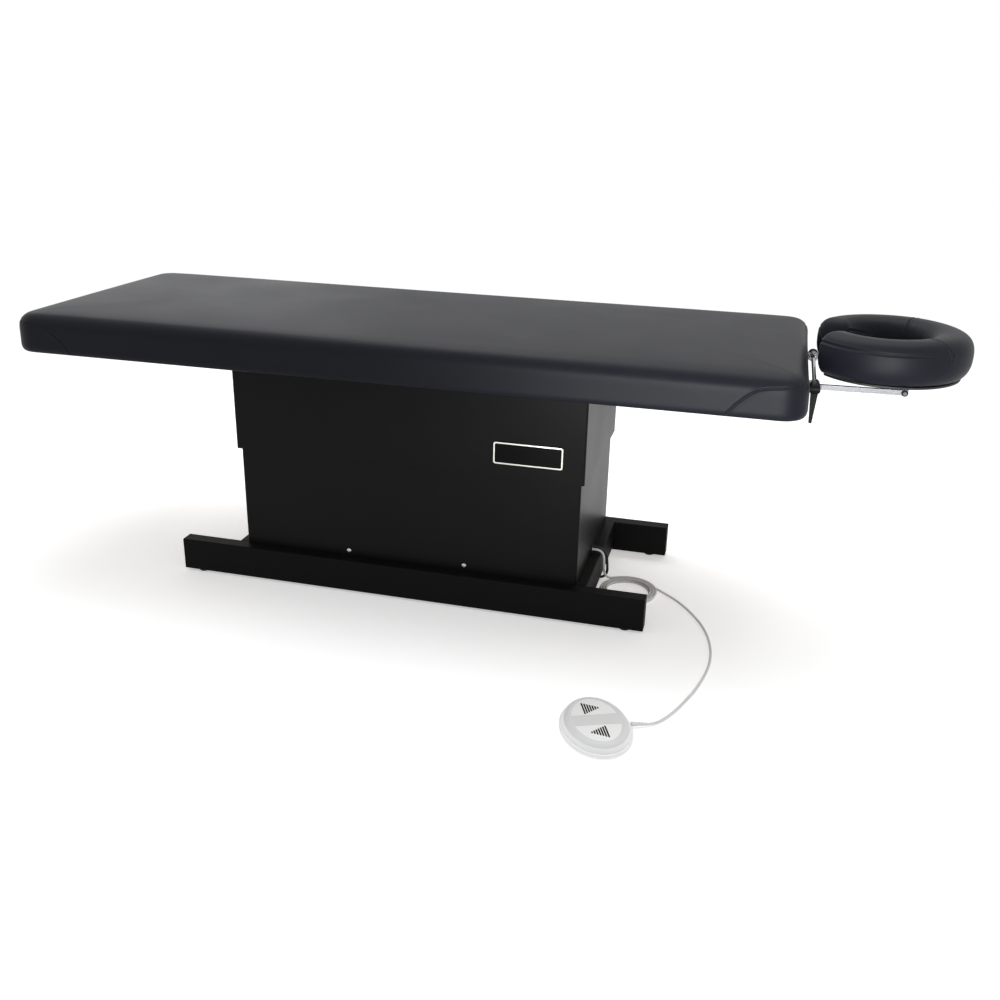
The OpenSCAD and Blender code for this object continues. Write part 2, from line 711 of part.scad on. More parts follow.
// Lifting columns
module outer_columns() {
  color([0.25, 0.25, 0.27]) difference() {
    for (x = [-1, 1]) translate([x * column_x, 0, plate_top_z]) {
      difference() {
        round_block(flange_l, flange_w, flange_t, flange_r);
        translate([0, 0, -cut])
          round_block(column_l - 2 * column_wall, column_w - 2 * column_wall, flange_t + 2 * cut,
            column_r - column_wall);
      }
      round_tube(column_l, column_w, column_top_z - plate_top_z, column_r, column_wall);
    }
    at_flange_bolts() translate([0, 0, plate_top_z - cut])
      cylinder(r = bolt_r + bolt_gap, h = flange_t + 2 * cut);
  }
}
module column_bushes() {
  color([0.85, 0.85, 0.82]) for (x = [-1, 1]) translate([x * column_x, 0, 0]) {
    translate([0, 0, column_top_z - bush_h])
      round_tube(column_l - 2 * column_wall - 2 * seat_gap, column_w - 2 * column_wall - 2 * seat_gap,
        bush_h + bush_lip, mast_r + bush_wall, bush_wall);
    translate([0, 0, column_top_z])
      round_tube(column_l, column_w, bush_lip, column_r, column_wall + bush_wall + seat_gap);
  }
}
module column_base_bolts() {
  color([0.6, 0.6, 0.62]) at_flange_bolts()
    translate([0, 0, plate_top_z + flange_t]) bolt(flange_t + base_plate_t);
}
module inner_masts() {
  color([0.6, 0.61, 0.63]) difference() {
    for (x = [-1, 1]) translate([x * column_x, 0, 0]) {
      translate([0, 0, mast_bottom_z])
        round_tube(mast_l, mast_w, plate_seat_z - mast_bottom_z, mast_r, column_wall);
      translate([0, 0, plate_seat_z - flange_t]) difference() {
        round_block(flange_l, flange_w, flange_t, flange_r);
        translate([0, 0, -cut]) round_block(mast_l - 2 * column_wall, mast_w - 2 * column_wall,
          flange_t + 2 * cut, mast_r - column_wall);
      }
    }
    at_flange_bolts() translate([0, 0, plate_seat_z - flange_t - cut])
      cylinder(r = bolt_r + bolt_gap, h = flange_t + 2 * cut);
  }
}
module mast_shoes() {
  color([0.85, 0.85, 0.82]) for (x = [-1, 1]) translate([x * column_x, 0, mast_bottom_z - shoe_lip]) {
    round_tube(mast_l + 2 * bush_wall, mast_w + 2 * bush_wall, shoe_h, mast_r + bush_wall,
      bush_wall - seat_gap);
    round_tube(mast_l + 2 * bush_wall, mast_w + 2 * bush_wall, shoe_lip, mast_r + bush_wall,
      bush_wall + column_wall);
  }
}
module mast_bolts() {
  color([0.6, 0.6, 0.62]) at_flange_bolts()
    translate([0, 0, plate_seat_z - flange_t]) rotate([180, 0, 0]) bolt(flange_t + mount_plate_t);
}

// Actuator
module clevis(height) {
  difference() {
    union() {
      round_block(bracket_l, bracket_w, bracket_t, bracket_t / 2);
      for (y = [-1, 1]) translate([0, y * (lug_w / 2 + lug_gap + ear_t / 2), height]) {
        rod_along_y(ear_r, ear_t);
        translate([-ear_r, -ear_t / 2, -height + bracket_t / 2])
          cube([2 * ear_r, ear_t, height - bracket_t / 2]);
      }
    }
    translate([0, 0, height]) rod_along_y(act_pin_r + pin_gap, bracket_w + 2 * cut);
  }
}
module act_pin(z) {
  pin_l = lug_w + 2 * lug_gap + 2 * ear_t + 2 * act_pin_over;
  translate([0, 0, z]) rod_along_y(act_pin_r, pin_l);
  for (y = [-1, 1]) translate([0, y * (pin_l / 2 - act_pin_over / 4), z])
    rod_along_y(act_pin_r + act_pin_over, act_pin_over / 2);
}
module actuator_foot_bracket() {
  color([0.3, 0.3, 0.32]) translate([0, 0, plate_top_z]) clevis(foot_pin_z - plate_top_z);
}
module actuator_foot_pin() {
  color([0.7, 0.71, 0.73]) act_pin(foot_pin_z);
}
module actuator_gearbox() {
  color([0.15, 0.15, 0.16]) difference() {
    union() {
      translate([(gearbox_front - gearbox_back) / 2, 0, gearbox_z])
        round_block(gearbox_front + gearbox_back, gearbox_w, gearbox_h, gearbox_r);
      translate([0, 0, foot_pin_z]) rod_along_y(ear_r, lug_w);
      translate([-ear_r, -lug_w / 2, foot_pin_z]) cube([2 * ear_r, lug_w, gearbox_z - foot_pin_z + cut]);
    }
    translate([0, 0, foot_pin_z]) rod_along_y(act_pin_r + pin_gap, lug_w + 2 * cut);
  }
}
module actuator_motor() {
  color([0.12, 0.12, 0.13]) translate([motor_x, 0, gearbox_z + gearbox_h]) {
    cylinder(r = motor_r, h = motor_l);
    translate([0, 0, motor_l]) cylinder(r = motor_cap_r, h = motor_cap_l);
  }
}
module actuator_tube() {
  color([0.72, 0.73, 0.75]) {
    translate([0, 0, gearbox_z + gearbox_h]) difference() {
      cylinder(r = actuator_r, h = tube_top_z - gearbox_z - gearbox_h);
      translate([0, 0, -cut])
        cylinder(r = actuator_r - tube_wall, h = tube_top_z - gearbox_z - gearbox_h + 2 * cut);
    }
    translate([0, 0, tube_top_z - tube_collar_h / 2]) difference() {
      cylinder(r = tube_collar_r, h = tube_collar_h);
      translate([0, 0, -cut]) cylinder(r = push_rod_r + 2 * pin_gap, h = tube_collar_h + 2 * cut);
    }
  }
}
module push_rod() {
  color([0.8, 0.81, 0.83]) difference() {
    union() {
      translate([0, 0, push_rod_bottom_z])
        cylinder(r = push_rod_r, h = head_pin_z - ear_r - push_rod_bottom_z);
      translate([0, 0, head_pin_z]) rod_along_y(ear_r, lug_w);
      translate([-ear_r, -lug_w / 2, head_pin_z - ear_r - cut]) cube([2 * ear_r, lug_w, ear_r + cut]);
    }
    translate([0, 0, head_pin_z]) rod_along_y(act_pin_r + pin_gap, lug_w + 2 * cut);
  }
}
module actuator_head_bracket() {
  color([0.3, 0.3, 0.32]) translate([0, 0, plate_seat_z]) mirror([0, 0, 1]) clevis(plate_seat_z - head_pin_z);
}
module actuator_head_pin() {
  color([0.7, 0.71, 0.73]) act_pin(head_pin_z);
}
module control_box() {
  color([0.16, 0.16, 0.17]) translate([box_x, 0, plate_top_z]) {
    round_block(box_l, box_w, box_h - box_lid_h, box_r);
    translate([0, 0, box_h - box_lid_h])
      round_block(box_l + 2 * box_lid_over, box_w + 2 * box_lid_over, box_lid_h, box_r + box_lid_over);
  }
}

// Frame under the deck
module mount_plates() {
  color([0.28, 0.28, 0.3]) difference() {
    for (x = [-1, 0, 1])
      translate([x * column_x, 0, plate_seat_z])
        round_block(x == 0 ? centre_plate_l : mount_plate_l, upper_w, mount_plate_t, cover_r);
    at_flange_bolts() translate([0, 0, plate_seat_z - cut])
      cylinder(r = bolt_r + bolt_gap, h = mount_plate_t + 2 * cut);
  }
}
module deck_tubes() {
  color([0.2, 0.2, 0.21]) for (y = [-1, 1])
    translate([pad_x, y * frame_tube_gauge / 2, frame_tube_z + frame_tube_h / 2])
      tube_along_x(frame_tube_l, frame_tube_w, frame_tube_h, frame_tube_r, frame_tube_wall);
}

// Wooden deck
module deck_side_rails() {
  middle_y = deck_w / 2 - deck_rail_t / 2;
  color([0.78, 0.63, 0.42]) for (y = [-1, 1])
    translate([pad_x - deck_l / 2 + deck_corner_r, y * middle_y - deck_rail_t / 2, top_z])
      cube([deck_l - 2 * deck_corner_r, deck_rail_t, deck_rail_h]);
}
module deck_end_rails() {
  middle_x = deck_l / 2 - deck_rail_t / 2;
  color([0.78, 0.63, 0.42]) difference() {
    for (x = [-1, 1])
      translate([pad_x + x * middle_x - deck_rail_t / 2, -deck_w / 2 + deck_corner_r, top_z])
        cube([deck_rail_t, deck_w - 2 * deck_corner_r, deck_rail_h]);
    for (y = [-1, 1])
      translate([pad_x + deck_l / 2, y * post_y, rod_z])
        rod_along_x(post_r + post_gap + socket_wall + seat_gap, 2 * deck_rail_t + 2 * cut);
  }
}
module deck_corner_blocks() {
  color([0.75, 0.6, 0.4]) for (x = [-1, 1], y = [-1, 1])
    translate([pad_x + x * (deck_l / 2 - deck_corner_r), y * (deck_w / 2 - deck_corner_r), top_z])
      intersection() {
        cylinder(r = deck_corner_r, h = deck_rail_h);
        translate([x < 0 ? -deck_corner_r : 0, y < 0 ? -deck_corner_r : 0, 0])
          cube([deck_corner_r, deck_corner_r, deck_rail_h]);
      }
}
module deck_battens() {
  color([0.78, 0.63, 0.42]) difference() {
    for (x = [socket_support_x, 2 * pad_x - socket_support_x])
      translate([x - deck_rail_t / 2, -deck_w / 2 + deck_rail_t, top_z])
        cube([deck_rail_t, deck_w - 2 * deck_rail_t, deck_rail_h]);
    for (y = [-1, 1])
      translate([socket_support_x, y * post_y, rod_z])
        rod_along_x(post_r + post_gap + socket_wall + seat_gap, deck_rail_t + 2 * cut);
  }
}
module deck_board() {
  color([0.82, 0.68, 0.47]) translate([pad_x, 0, top_z + deck_rail_h])
    round_block(deck_l, deck_w, deck_board_t, deck_corner_r);
}
module post_sockets() {
  socket_start = socket_support_x - deck_rail_t / 2;
  color([0.7, 0.71, 0.72]) for (y = [-1, 1])
    translate([socket_start, y * post_y, rod_z]) rotate([0, 90, 0]) difference() {
      cylinder(r = post_r + post_gap + socket_wall, h = head_end_x - soft_gap - socket_start);
      translate([0, 0, -cut])
        cylinder(r = post_r + post_gap, h = head_end_x - soft_gap - socket_start + 2 * cut);
    }
}

// Padded top: a crowned foam top whose cover wraps the deck's edge and leaves its underside open
function corner_points(half_l, half_w, r, c) = [for (i = [0:pad_corner_steps])
  let (a = 90 * c + 90 * i / pad_corner_steps)
  [(c == 0 || c == 3 ? 1 : -1) * (half_l - r) + r * cos(a), (c < 2 ? 1 : -1) * (half_w - r) + r * sin(a)]];
function side_points(a, b, steps, in, draw) = [for (i = [1:steps - 1]) let (s = i / steps)
  a + (b - a) * s + in * draw * sin(180 * s)];
function pad_ring(half_l, half_w, r, z, draw) = [for (p = flat([
  corner_points(half_l, half_w, r, 0),
  side_points([half_l - r, half_w], [r - half_l, half_w], pad_long_steps, [0, -1], draw),
  corner_points(half_l, half_w, r, 1),
  side_points([-half_l, half_w - r], [-half_l, r - half_w], pad_short_steps, [1, 0], draw / 2),
  corner_points(half_l, half_w, r, 2),
  side_points([r - half_l, -half_w], [half_l - r, -half_w], pad_long_steps, [0, 1], draw),
  corner_points(half_l, half_w, r, 3),
  side_points([half_l, r - half_w], [half_l, half_w - r], pad_short_steps, [-1, 0], draw / 2)]))
  [pad_x + p[0], p[1], z]];
function pad_level(inset, z, draw) =
  pad_ring(pad_l / 2 - inset, pad_w / 2 - inset, max(pad_corner_r - inset, pad_corner_r / 3), z, draw);
module table_pad() {
  edge_z = pad_z - pad_crown;
  steps = [0:pad_arc_steps];
  color([0.17, 0.18, 0.2]) difference() {
    skin(concat(
      [pad_level(pad_wrap_t, deck_top_z + soft_gap, 0), pad_level(pad_wrap_t, top_z, 0)],
      [for (i = steps) let (a = 90 * i / pad_arc_steps)
        pad_level(pad_wrap_t * (1 - pad_lip_share) * (1 - sin(a)),
          top_z + pad_under_r * (1 - cos(a)), pad_draw_in * i / pad_arc_steps)],
      [for (i = steps) let (a = 90 * i / pad_arc_steps)
        pad_level(pad_edge_r * (1 - cos(a)), edge_z - pad_edge_r * (1 - sin(a)),
          pad_draw_in * (1 - i / pad_arc_steps))],
      [for (k = pad_crown_shares) [for (p = pad_level(pad_edge_r, edge_z, 0))
        [pad_x + (p[0] - pad_x) * k, p[1] * k, edge_z + pad_crown * (1 - k * k)]]]));
    for (y = [-1, 1])
      translate([head_end_x, y * post_y, rod_z])
        rod_along_x(post_r + post_gap + socket_wall + soft_gap, 4 * pad_wrap_t, $fn = 24);
  }
}

// Face rest
module face_posts() {
  color([0.78, 0.79, 0.8]) difference() {
    for (y = [-1, 1]) translate([rod_x, y * post_y, rod_z]) {
      translate([-post_l / 2, 0, 0]) rod_along_x(post_r, post_l);
      rod_along_y(hub_r, hub_w);
    }
    translate([rod_x, 0, rod_z]) rod_along_y(rod_r + pin_gap, post_gauge + 2 * hub_w);
  }
}
module cross_rod() {
  near_end = cam_pin_y + rod_end_over;
  far_end = arm_out_y + nut_knob_l / 2;
  color([0.82, 0.83, 0.84]) difference() {
    translate([rod_x, (far_end - near_end) / 2, rod_z]) rod_along_y(rod_r, far_end + near_end);
    translate([rod_x, -cam_pin_y, rod_z]) rod_along_x(cam_pin_r + pin_gap / 2, 2 * rod_r + 2 * cut);
  }
}
module hub_washers() {
  off = (arm_t + washer_room) / 2;
  color([0.7, 0.71, 0.72]) for (y = [-arm_y - off, -arm_y + off, arm_y - off, arm_y + off])
    translate([rod_x, y, rod_z]) difference() {
      rod_along_y(hub_washer_r, hub_washer_t);
      rod_along_y(rod_r + pin_gap, hub_washer_t + 2 * cut);
    }
}
module rod_nut() {
  color([0.05, 0.05, 0.05]) translate([rod_x, arm_out_y + nut_knob_l / 2, rod_z]) rotate([90, 0, 0])
    difference() {
      union() {
        cylinder(r = nut_knob_r, h = nut_knob_l * nut_grip_share, center = true);
        cylinder(r = nut_knob_r * nut_core_share, h = nut_knob_l, center = true);
      }
      cylinder(r = rod_r + pin_gap, h = nut_knob_l / 2 + cut);
    }
}
module cam_pin() {
  color([0.7, 0.71, 0.72]) translate([rod_x, -cam_pin_y, rod_z]) rod_along_x(cam_pin_r, cam_w + 2 * pin_gap);
}
module cam_lever() {
  slot_w = 2 * (rod_r + cam_slot);
  color([0.04, 0.04, 0.04]) translate([rod_x, -cam_pin_y, rod_z]) difference() {
    union() {
      intersection() {
        rod_along_x(cam_r, cam_w);
        rod_along_y(cam_face_r, 2 * cam_r);
      }
      intersection() {
        rotate([90, 0, 0]) linear_extrude(2 * lever_root_t, center = true)
          polygon([[-lever_root_w / 2, 0], [lever_root_w / 2, 0],
            [lever_tip_w / 2 - lever_lean, -lever_l + lever_tip_w / 4],
            [lever_tip_w / 4 - lever_lean, -lever_l], [-lever_tip_w / 4 - lever_lean, -lever_l],
            [-lever_tip_w / 2 - lever_lean, -lever_l + lever_tip_w / 4]]);
        rotate([90, 0, 90]) linear_extrude(2 * lever_root_w, center = true)
          polygon([[-lever_root_t / 2, 0], [lever_root_t / 2, 0], [lever_tip_t / 2, -lever_l],
            [-lever_tip_t / 2, -lever_l]]);
      }
    }
    rod_along_x(cam_pin_r + pin_gap, cam_w + 2 * cut);
    rotate([90, 0, 90]) linear_extrude(slot_w, center = true) {
      circle(r = cam_end_room);
      hull() for (a = [0:cam_open_angle / 6:cam_open_angle]) rotate([0, 0, a])
        translate([0, -slot_w / 2]) square([2 * cam_r, slot_w]);
    }
  }
}
module face_arms() {
  lean = atan2(arm_rise, arm_l);
  span = norm([arm_l, arm_rise]);
  color([0.8, 0.81, 0.82]) for (y = [-1, 1])
    translate([rod_x, y * arm_y + arm_t / 2, rod_z]) rotate([90, 0, 0]) rotate([0, 0, lean])
      linear_extrude(arm_t) difference() {
        union() {
          circle(arm_eye_r);
          translate([span, 0]) circle(arm_end_r);
          translate([0, -arm_h / 2]) square([span, arm_h]);
        }
        circle(rod_r + pin_gap);
        translate([span, 0]) circle(axle_r + pin_gap);
      }
}
module outer_axle() {
  half = arm_y + arm_t / 2;
  color([0.75, 0.76, 0.77]) translate([axle_x, 0, axle_z]) {
    rod_along_y(axle_r, 2 * half);
    for (y = [-1, 1]) translate([0, y * (half + axle_cap_l / 2), 0]) {
      rod_along_y(axle_cap_r, axle_cap_l);
      translate([0, y * (axle_cap_l + axle_tip_l) / 2, 0]) rod_along_y(axle_r, axle_tip_l);
    }
  }
}
// the cushion's middle line, and the same line for its platform
function ring_point(a) = [cushion_x + cushion_ring_x * cos(a), cushion_ring_y * sin(a)];
function ring_side(a) = unit([cushion_ring_y * cos(a), cushion_ring_x * sin(a)]);
function limb_half(a) = let (s = min(1, abs(a) / cushion_tip_angle * limb_taper_share))
  bend_half_w + (limb_half_w - bend_half_w) * s;
module face_platform() {
  steps = [0:2 * cushion_stations];
  angles = [for (i = steps) cushion_tip_angle * (i / cushion_stations - 1)];
  outside = [for (a = angles) ring_point(a) + platform_share * limb_half(a) * ring_side(a)];
  inside = [for (a = angles) ring_point(-a) - platform_share * limb_half(-a) * ring_side(-a)];
  color([0.12, 0.12, 0.13]) difference() {
    union() {
      translate([0, 0, platform_z]) linear_extrude(platform_t) polygon(concat(outside, inside));
      for (y = [-1, 1]) translate([axle_x, y * lug_y, 0]) {
        translate([0, 0, axle_z]) rod_along_y(lug_r, lug_t);
        translate([-lug_r, -lug_t / 2, axle_z])
          cube([2 * lug_r, lug_t, platform_z - axle_z + platform_t / 2]);
      }
    }
    translate([axle_x, 0, axle_z]) rod_along_y(axle_r + pin_gap, 2 * arm_y);
  }
}
// Face cushion: a crescent of one thick roll with round tips, flat where it lies on its platform
function roll_ring(at, side, half_w, half_h, mid_z, floor_z) = [for (k = [0:cushion_sides - 1])
  let (a = -360 * k / cushion_sides, c = cos(a), s = sin(a))
  [at[0] + side[0] * half_w * sign(c) * pow(abs(c), cushion_corner_power),
    at[1] + side[1] * half_w * sign(c) * pow(abs(c), cushion_corner_power),
    max(mid_z + half_h * sign(s) * pow(abs(s), cushion_corner_power), floor_z)]];
module face_cushion() {
  half_h = cushion_t / (1 + cushion_flat_share);
  mid_z = cushion_z + half_h * cushion_flat_share;
  tip = function (sign_, k) let (a = sign_ * cushion_tip_angle, f = sin(90 * k / tip_steps),
      way = sign_ * unit([-cushion_ring_x * sin(a), cushion_ring_y * cos(a)]),
      shrink = sqrt(max(tip_least_share, 1 - f * f)))
    roll_ring(ring_point(a) + tip_round_share * limb_half_w * f * way, ring_side(a), limb_half_w * shrink,
      half_h * shrink, mid_z - half_h * (1 - shrink) * (1 - cushion_flat_share), cushion_z);
  color([0.17, 0.18, 0.2]) skin(concat(
    [for (k = [tip_steps:-1:1]) tip(-1, k)],
    [for (i = [0:cushion_stations]) let (a = cushion_tip_angle * (2 * i / cushion_stations - 1))
      roll_ring(ring_point(a), ring_side(a), limb_half(a), half_h, mid_z, cushion_z)],
    [for (k = [1:tip_steps]) tip(1, k)]));
}

// Foot switch, drawn round its own middle with its bar along X
module at_switch() {
  translate([switch_x, switch_y, 0]) rotate([0, 0, switch_angle]) children();
}
function oval(half_u, half_v, z) = [for (i = [0:switch_steps - 1]) let (a = 360 * i / switch_steps)
  [half_u * cos(a), half_v * sin(a), z]];
module oval_2d(half_u, half_v) {
  polygon([for (p = oval(half_u, half_v, 0)) [p[0], p[1]]]);
}
module tread_2d(grow) {
  intersection() {
    oval_2d(tread_half_u + grow, tread_half_v + grow);
    translate([-switch_half_u, bar_w / 2 - grow]) square([2 * switch_half_u, switch_half_v]);
  }
}
module switch_base() {
  color([0.93, 0.93, 0.92]) at_switch() translate([0, 0, switch_feet_h]) difference() {
    linear_extrude(switch_tray_h - seat_gap) oval_2d(switch_half_u, switch_half_v);
    translate([0, 0, switch_wall]) linear_extrude(switch_tray_h)
      oval_2d(switch_half_u - 2 * switch_wall, switch_half_v - 2 * switch_wall);
  }
}
module switch_cover() {
  dome = function (grow, drop) [for (s = switch_dome_shares)
    oval(switch_half_u * s[0] - switch_rim_in / 2 - grow, switch_half_v * s[0] - switch_rim_in / 2 - grow,
      switch_tray_z + (switch_h - switch_tray_z) * s[1] - drop)];
  color([0.78, 0.78, 0.79]) at_switch() difference() {
    skin(dome(0, 0));
    skin(dome(switch_wall, switch_wall));
    for (side = [0, 180]) rotate([0, 0, side])
      translate([0, 0, switch_tray_z]) linear_extrude(switch_h) tread_2d(0);
  }
}
module tread(side) {
  color([0.95, 0.95, 0.95]) at_switch() rotate([0, 0, side]) {
    translate([0, 0, tread_z]) linear_extrude(tread_t * tread_step_share) tread_2d(-tread_gap);
    translate([0, 0, tread_z]) linear_extrude(tread_t) tread_2d(-2 * tread_gap);
    translate([0, bar_w / 2 + tread_gap, tread_z]) rod_along_x(tread_hinge_r, 2 * tread_half_u * tread_hinge_share);
  }
}
module up_tread() {
  tread(0);
}
module down_tread() {
  tread(180);
}
module switch_feet() {
  color([0.2, 0.2, 0.2]) at_switch() for (a = [45:90:315])
    translate([switch_half_u * cos(a), switch_half_v * sin(a), 0] * switch_foot_share)
      cylinder(r = switch_foot_r, h = switch_feet_h);
}
module micro_switches() {
  floor_z = switch_feet_h + switch_wall;
  press = sin(tread_angle) * (micro_v - bar_w / 2);
  top = tread_z - press - plunger_h - seat_gap;
  color([0.1, 0.1, 0.1]) at_switch() for (y = [-1, 1]) translate([0, y * micro_v, 0]) {
    translate([-micro_l / 2, -micro_w / 2, floor_z]) cube([micro_l, micro_w, top - floor_z]);
    translate([0, 0, top - cut / 2]) cylinder(r = plunger_r, h = plunger_h + cut / 2);
  }
}
module switch_strain_relief() {
  color([0.92, 0.92, 0.91]) cord(relief_route, relief_r, switch_cord_d / 2 + seat_gap, cord_sides);
}

// Cords
module switch_cable() {
  color([0.93, 0.93, 0.93]) cord(switch_route, switch_cord_d / 2, switch_cord_d / 2, cord_sides);
}
module switch_cable_coil() {
  color([0.93, 0.93, 0.93]) cord(switch_coil, switch_cord_d / 2, switch_cord_d / 2, coil_sides);
}
module switch_cable_riser() {
  color([0.93, 0.93, 0.93]) cord(riser_route, switch_cord_d / 2, switch_cord_d / 2, cord_sides);
}
module mains_strain_relief() {
  color([0.05, 0.05, 0.05]) cord(mains_relief, mains_relief_r, mains_cord_d / 2 + seat_gap, cord_sides);
}
module mains_cable() {
  color([0.06, 0.06, 0.06]) cord(mains_free_route, mains_cord_d / 2, mains_cord_d / 2, cord_sides);
}
module mains_cable_coil() {
  color([0.06, 0.06, 0.06]) cord(mains_coil, mains_cord_d / 2, mains_cord_d / 2, coil_sides);
}
module mains_cable_tail() {
  color([0.06, 0.06, 0.06]) cord(tail_route, mains_cord_d / 2, mains_cord_d / 2, cord_sides);
}
module mains_plug() {
  translate([plug_at[0], plug_at[1], plug_z]) rotate([90, 0, 0]) {
    color([0.06, 0.06, 0.06]) {
      cylinder(r1 = mains_cord_d / 2 + seat_gap, r2 = plug_h / 3, h = plug_relief_l);
      translate([0, 0, plug_relief_l]) round_block(plug_w, plug_h, plug_l, plug_r);
    }
    color([0.75, 0.7, 0.45]) {
      for (x = [-1, 1])
        translate([x * blade_gauge / 2 - blade_t / 2, -blade_w / 2, plug_relief_l + plug_l - cut])
          cube([blade_t, blade_w, blade_l + cut]);
      translate([0, -ground_drop, plug_relief_l + plug_l - cut]) cylinder(r = ground_r, h = ground_l + cut);
    }
  }
}

near_rail();
far_rail();
cross_tubes();
rail_end_caps();
rail_feet();
base_plate();
lower_cover();
cover_screws();
cable_grommet();
outer_columns();
column_bushes();
column_base_bolts();
actuator_foot_bracket();
actuator_foot_pin();
actuator_gearbox();
actuator_motor();
actuator_tube();
control_box();
upper_cover();
name_plate();
inner_masts();
mast_shoes();
mast_bolts();
push_rod();
actuator_head_bracket();
actuator_head_pin();
mount_plates();
deck_tubes();
deck_side_rails();
deck_end_rails();
deck_corner_blocks();
deck_battens();
deck_board();
post_sockets();
table_pad();
face_posts();
cross_rod();
hub_washers();
rod_nut();
cam_pin();
cam_lever();
face_arms();
outer_axle();
face_platform();
face_cushion();
switch_base();
switch_cover();
up_tread();
down_tread();
switch_feet();
micro_switches();
switch_strain_relief();
switch_cable();
switch_cable_coil();
switch_cable_riser();
mains_strain_relief();
mains_cable();
mains_cable_coil();
mains_cable_tail();
mains_plug();
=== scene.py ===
import json
import math
import time
from contextlib import contextmanager
import bpy
import bmesh
from mathutils import Matrix, Vector, noise
from mathutils.bvhtree import BVHTree
from mathutils.kdtree import KDTree

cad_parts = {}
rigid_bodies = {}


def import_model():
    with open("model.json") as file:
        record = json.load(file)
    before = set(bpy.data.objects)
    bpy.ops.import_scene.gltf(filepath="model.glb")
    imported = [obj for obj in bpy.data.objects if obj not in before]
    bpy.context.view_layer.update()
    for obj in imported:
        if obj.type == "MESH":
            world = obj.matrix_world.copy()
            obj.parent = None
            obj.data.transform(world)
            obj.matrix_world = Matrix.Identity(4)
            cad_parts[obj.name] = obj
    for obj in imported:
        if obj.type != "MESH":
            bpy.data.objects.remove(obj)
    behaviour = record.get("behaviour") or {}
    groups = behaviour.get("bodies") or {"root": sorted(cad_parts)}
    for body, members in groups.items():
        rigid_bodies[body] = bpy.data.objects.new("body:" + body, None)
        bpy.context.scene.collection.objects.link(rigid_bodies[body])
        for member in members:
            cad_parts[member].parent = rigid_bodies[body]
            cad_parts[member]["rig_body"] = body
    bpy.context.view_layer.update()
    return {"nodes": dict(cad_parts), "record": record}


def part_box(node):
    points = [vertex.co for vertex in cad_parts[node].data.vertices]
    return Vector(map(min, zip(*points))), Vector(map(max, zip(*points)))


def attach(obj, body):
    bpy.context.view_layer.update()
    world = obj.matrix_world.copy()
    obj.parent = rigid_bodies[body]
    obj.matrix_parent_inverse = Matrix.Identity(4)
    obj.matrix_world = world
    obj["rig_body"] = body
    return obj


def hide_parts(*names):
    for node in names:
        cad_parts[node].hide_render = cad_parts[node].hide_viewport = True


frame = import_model()
nodes = frame["nodes"]
scene = bpy.context.scene
millimetre = 0.001
weldDistance = 0.01 * millimetre
skinGap = 0.0001    # how far a thread or a rim sinks into or stands off its surface
startTime = time.perf_counter()


def sinceStart():
    return round(time.perf_counter() - startTime, 1)


print("frame loaded:", len(nodes), "nodes", sinceStart(), "s")

# general helpers


def linkObject(name, data):
    piece = bpy.data.objects.new(name, data)
    scene.collection.objects.link(piece)
    return piece


def meshFrom(name, points, faces):
    mesh = bpy.data.meshes.new(name)
    mesh.from_pydata([tuple(p) for p in points], [], faces)
    mesh.validate()
    return linkObject(name, mesh)


@contextmanager
def editing(mesh):
    # the mesh's faces and edges for bmesh, written back at the end
    work = bmesh.new()
    work.from_mesh(mesh)
    yield work
    work.to_mesh(mesh)
    work.free()


def cleanNormals(piece):
    with editing(piece.data) as work:
        bmesh.ops.remove_doubles(work, verts=work.verts, dist=weldDistance)
        bmesh.ops.recalc_face_normals(work, faces=work.faces)


def smoothShade(piece, angle=38):
    piece.data.shade_smooth()
    piece.data.set_sharp_from_angle(angle=math.radians(angle))


def finishPiece(piece, body, slotName, replaced=(), angle=38):
    piece.data.materials.clear()
    piece.data.materials.append(finishes[slotName])
    if angle is not None:
        smoothShade(piece, angle)
    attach(piece, body)
    if replaced:
        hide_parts(*replaced)
    return piece


def addTrim(piece, body, finish):
    # a small piece with a finish of its own
    piece.data.materials.clear()
    piece.data.materials.append(finish)
    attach(piece, body)


def evaluatedMesh(piece):
    bpy.context.view_layer.update()
    graph = bpy.context.evaluated_depsgraph_get()
    return bpy.data.meshes.new_from_object(piece.evaluated_get(graph))


def applyModifiers(piece):
    mesh = evaluatedMesh(piece)
    piece.modifiers.clear()
    old = piece.data
    piece.data = mesh
    mesh.name = piece.name
    if old.users == 0:
        bpy.data.meshes.remove(old)
    return piece


def meshOfCurve(curve, name):
    mesh = evaluatedMesh(curve)
    bpy.data.objects.remove(curve)
    mesh.name = name
    return linkObject(name, mesh)


def joined(name, pieces):
    mesh = bpy.data.meshes.new(name)
    with editing(mesh) as work:
        for piece in pieces:
            work.from_mesh(piece.data)
            bpy.data.objects.remove(piece)
    return linkObject(name, mesh)


def bandFaces(a, b, count):
    # faces between two rings whose points start at a and at b
    return [(a + k, a + (k + 1) % count, b + (k + 1) % count, b + k) for k in range(count)]


def ringSkin(name, rings, closed=True):
    # rings of equal length, joined in order; closed ends are fans
    count = len(rings[0])
    points = [p for ring in rings for p in ring]
    faces = []
    for i in range(len(rings) - 1):
        faces += bandFaces(i * count, (i + 1) * count, count)
    for start in (0, (len(rings) - 1) * count) if closed else ():
        middle = Vector((0, 0, 0))
        for k in range(count):
            middle += Vector(points[start + k]) / count
        points.append(middle)
        faces += [(len(points) - 1, start + k, start + (k + 1) % count) for k in range(count)]
    piece = meshFrom(name, points, faces)
    cleanNormals(piece)
    return piece


def circle(count):
    return [(math.cos(math.tau * k / count), math.sin(math.tau * k / count)) for k in range(count)]


def smoothStep(edgeLow, edgeHigh, value):
    t = min(1, max(0, (value - edgeLow) / (edgeHigh - edgeLow)))
    return t * t * (3 - 2 * t)


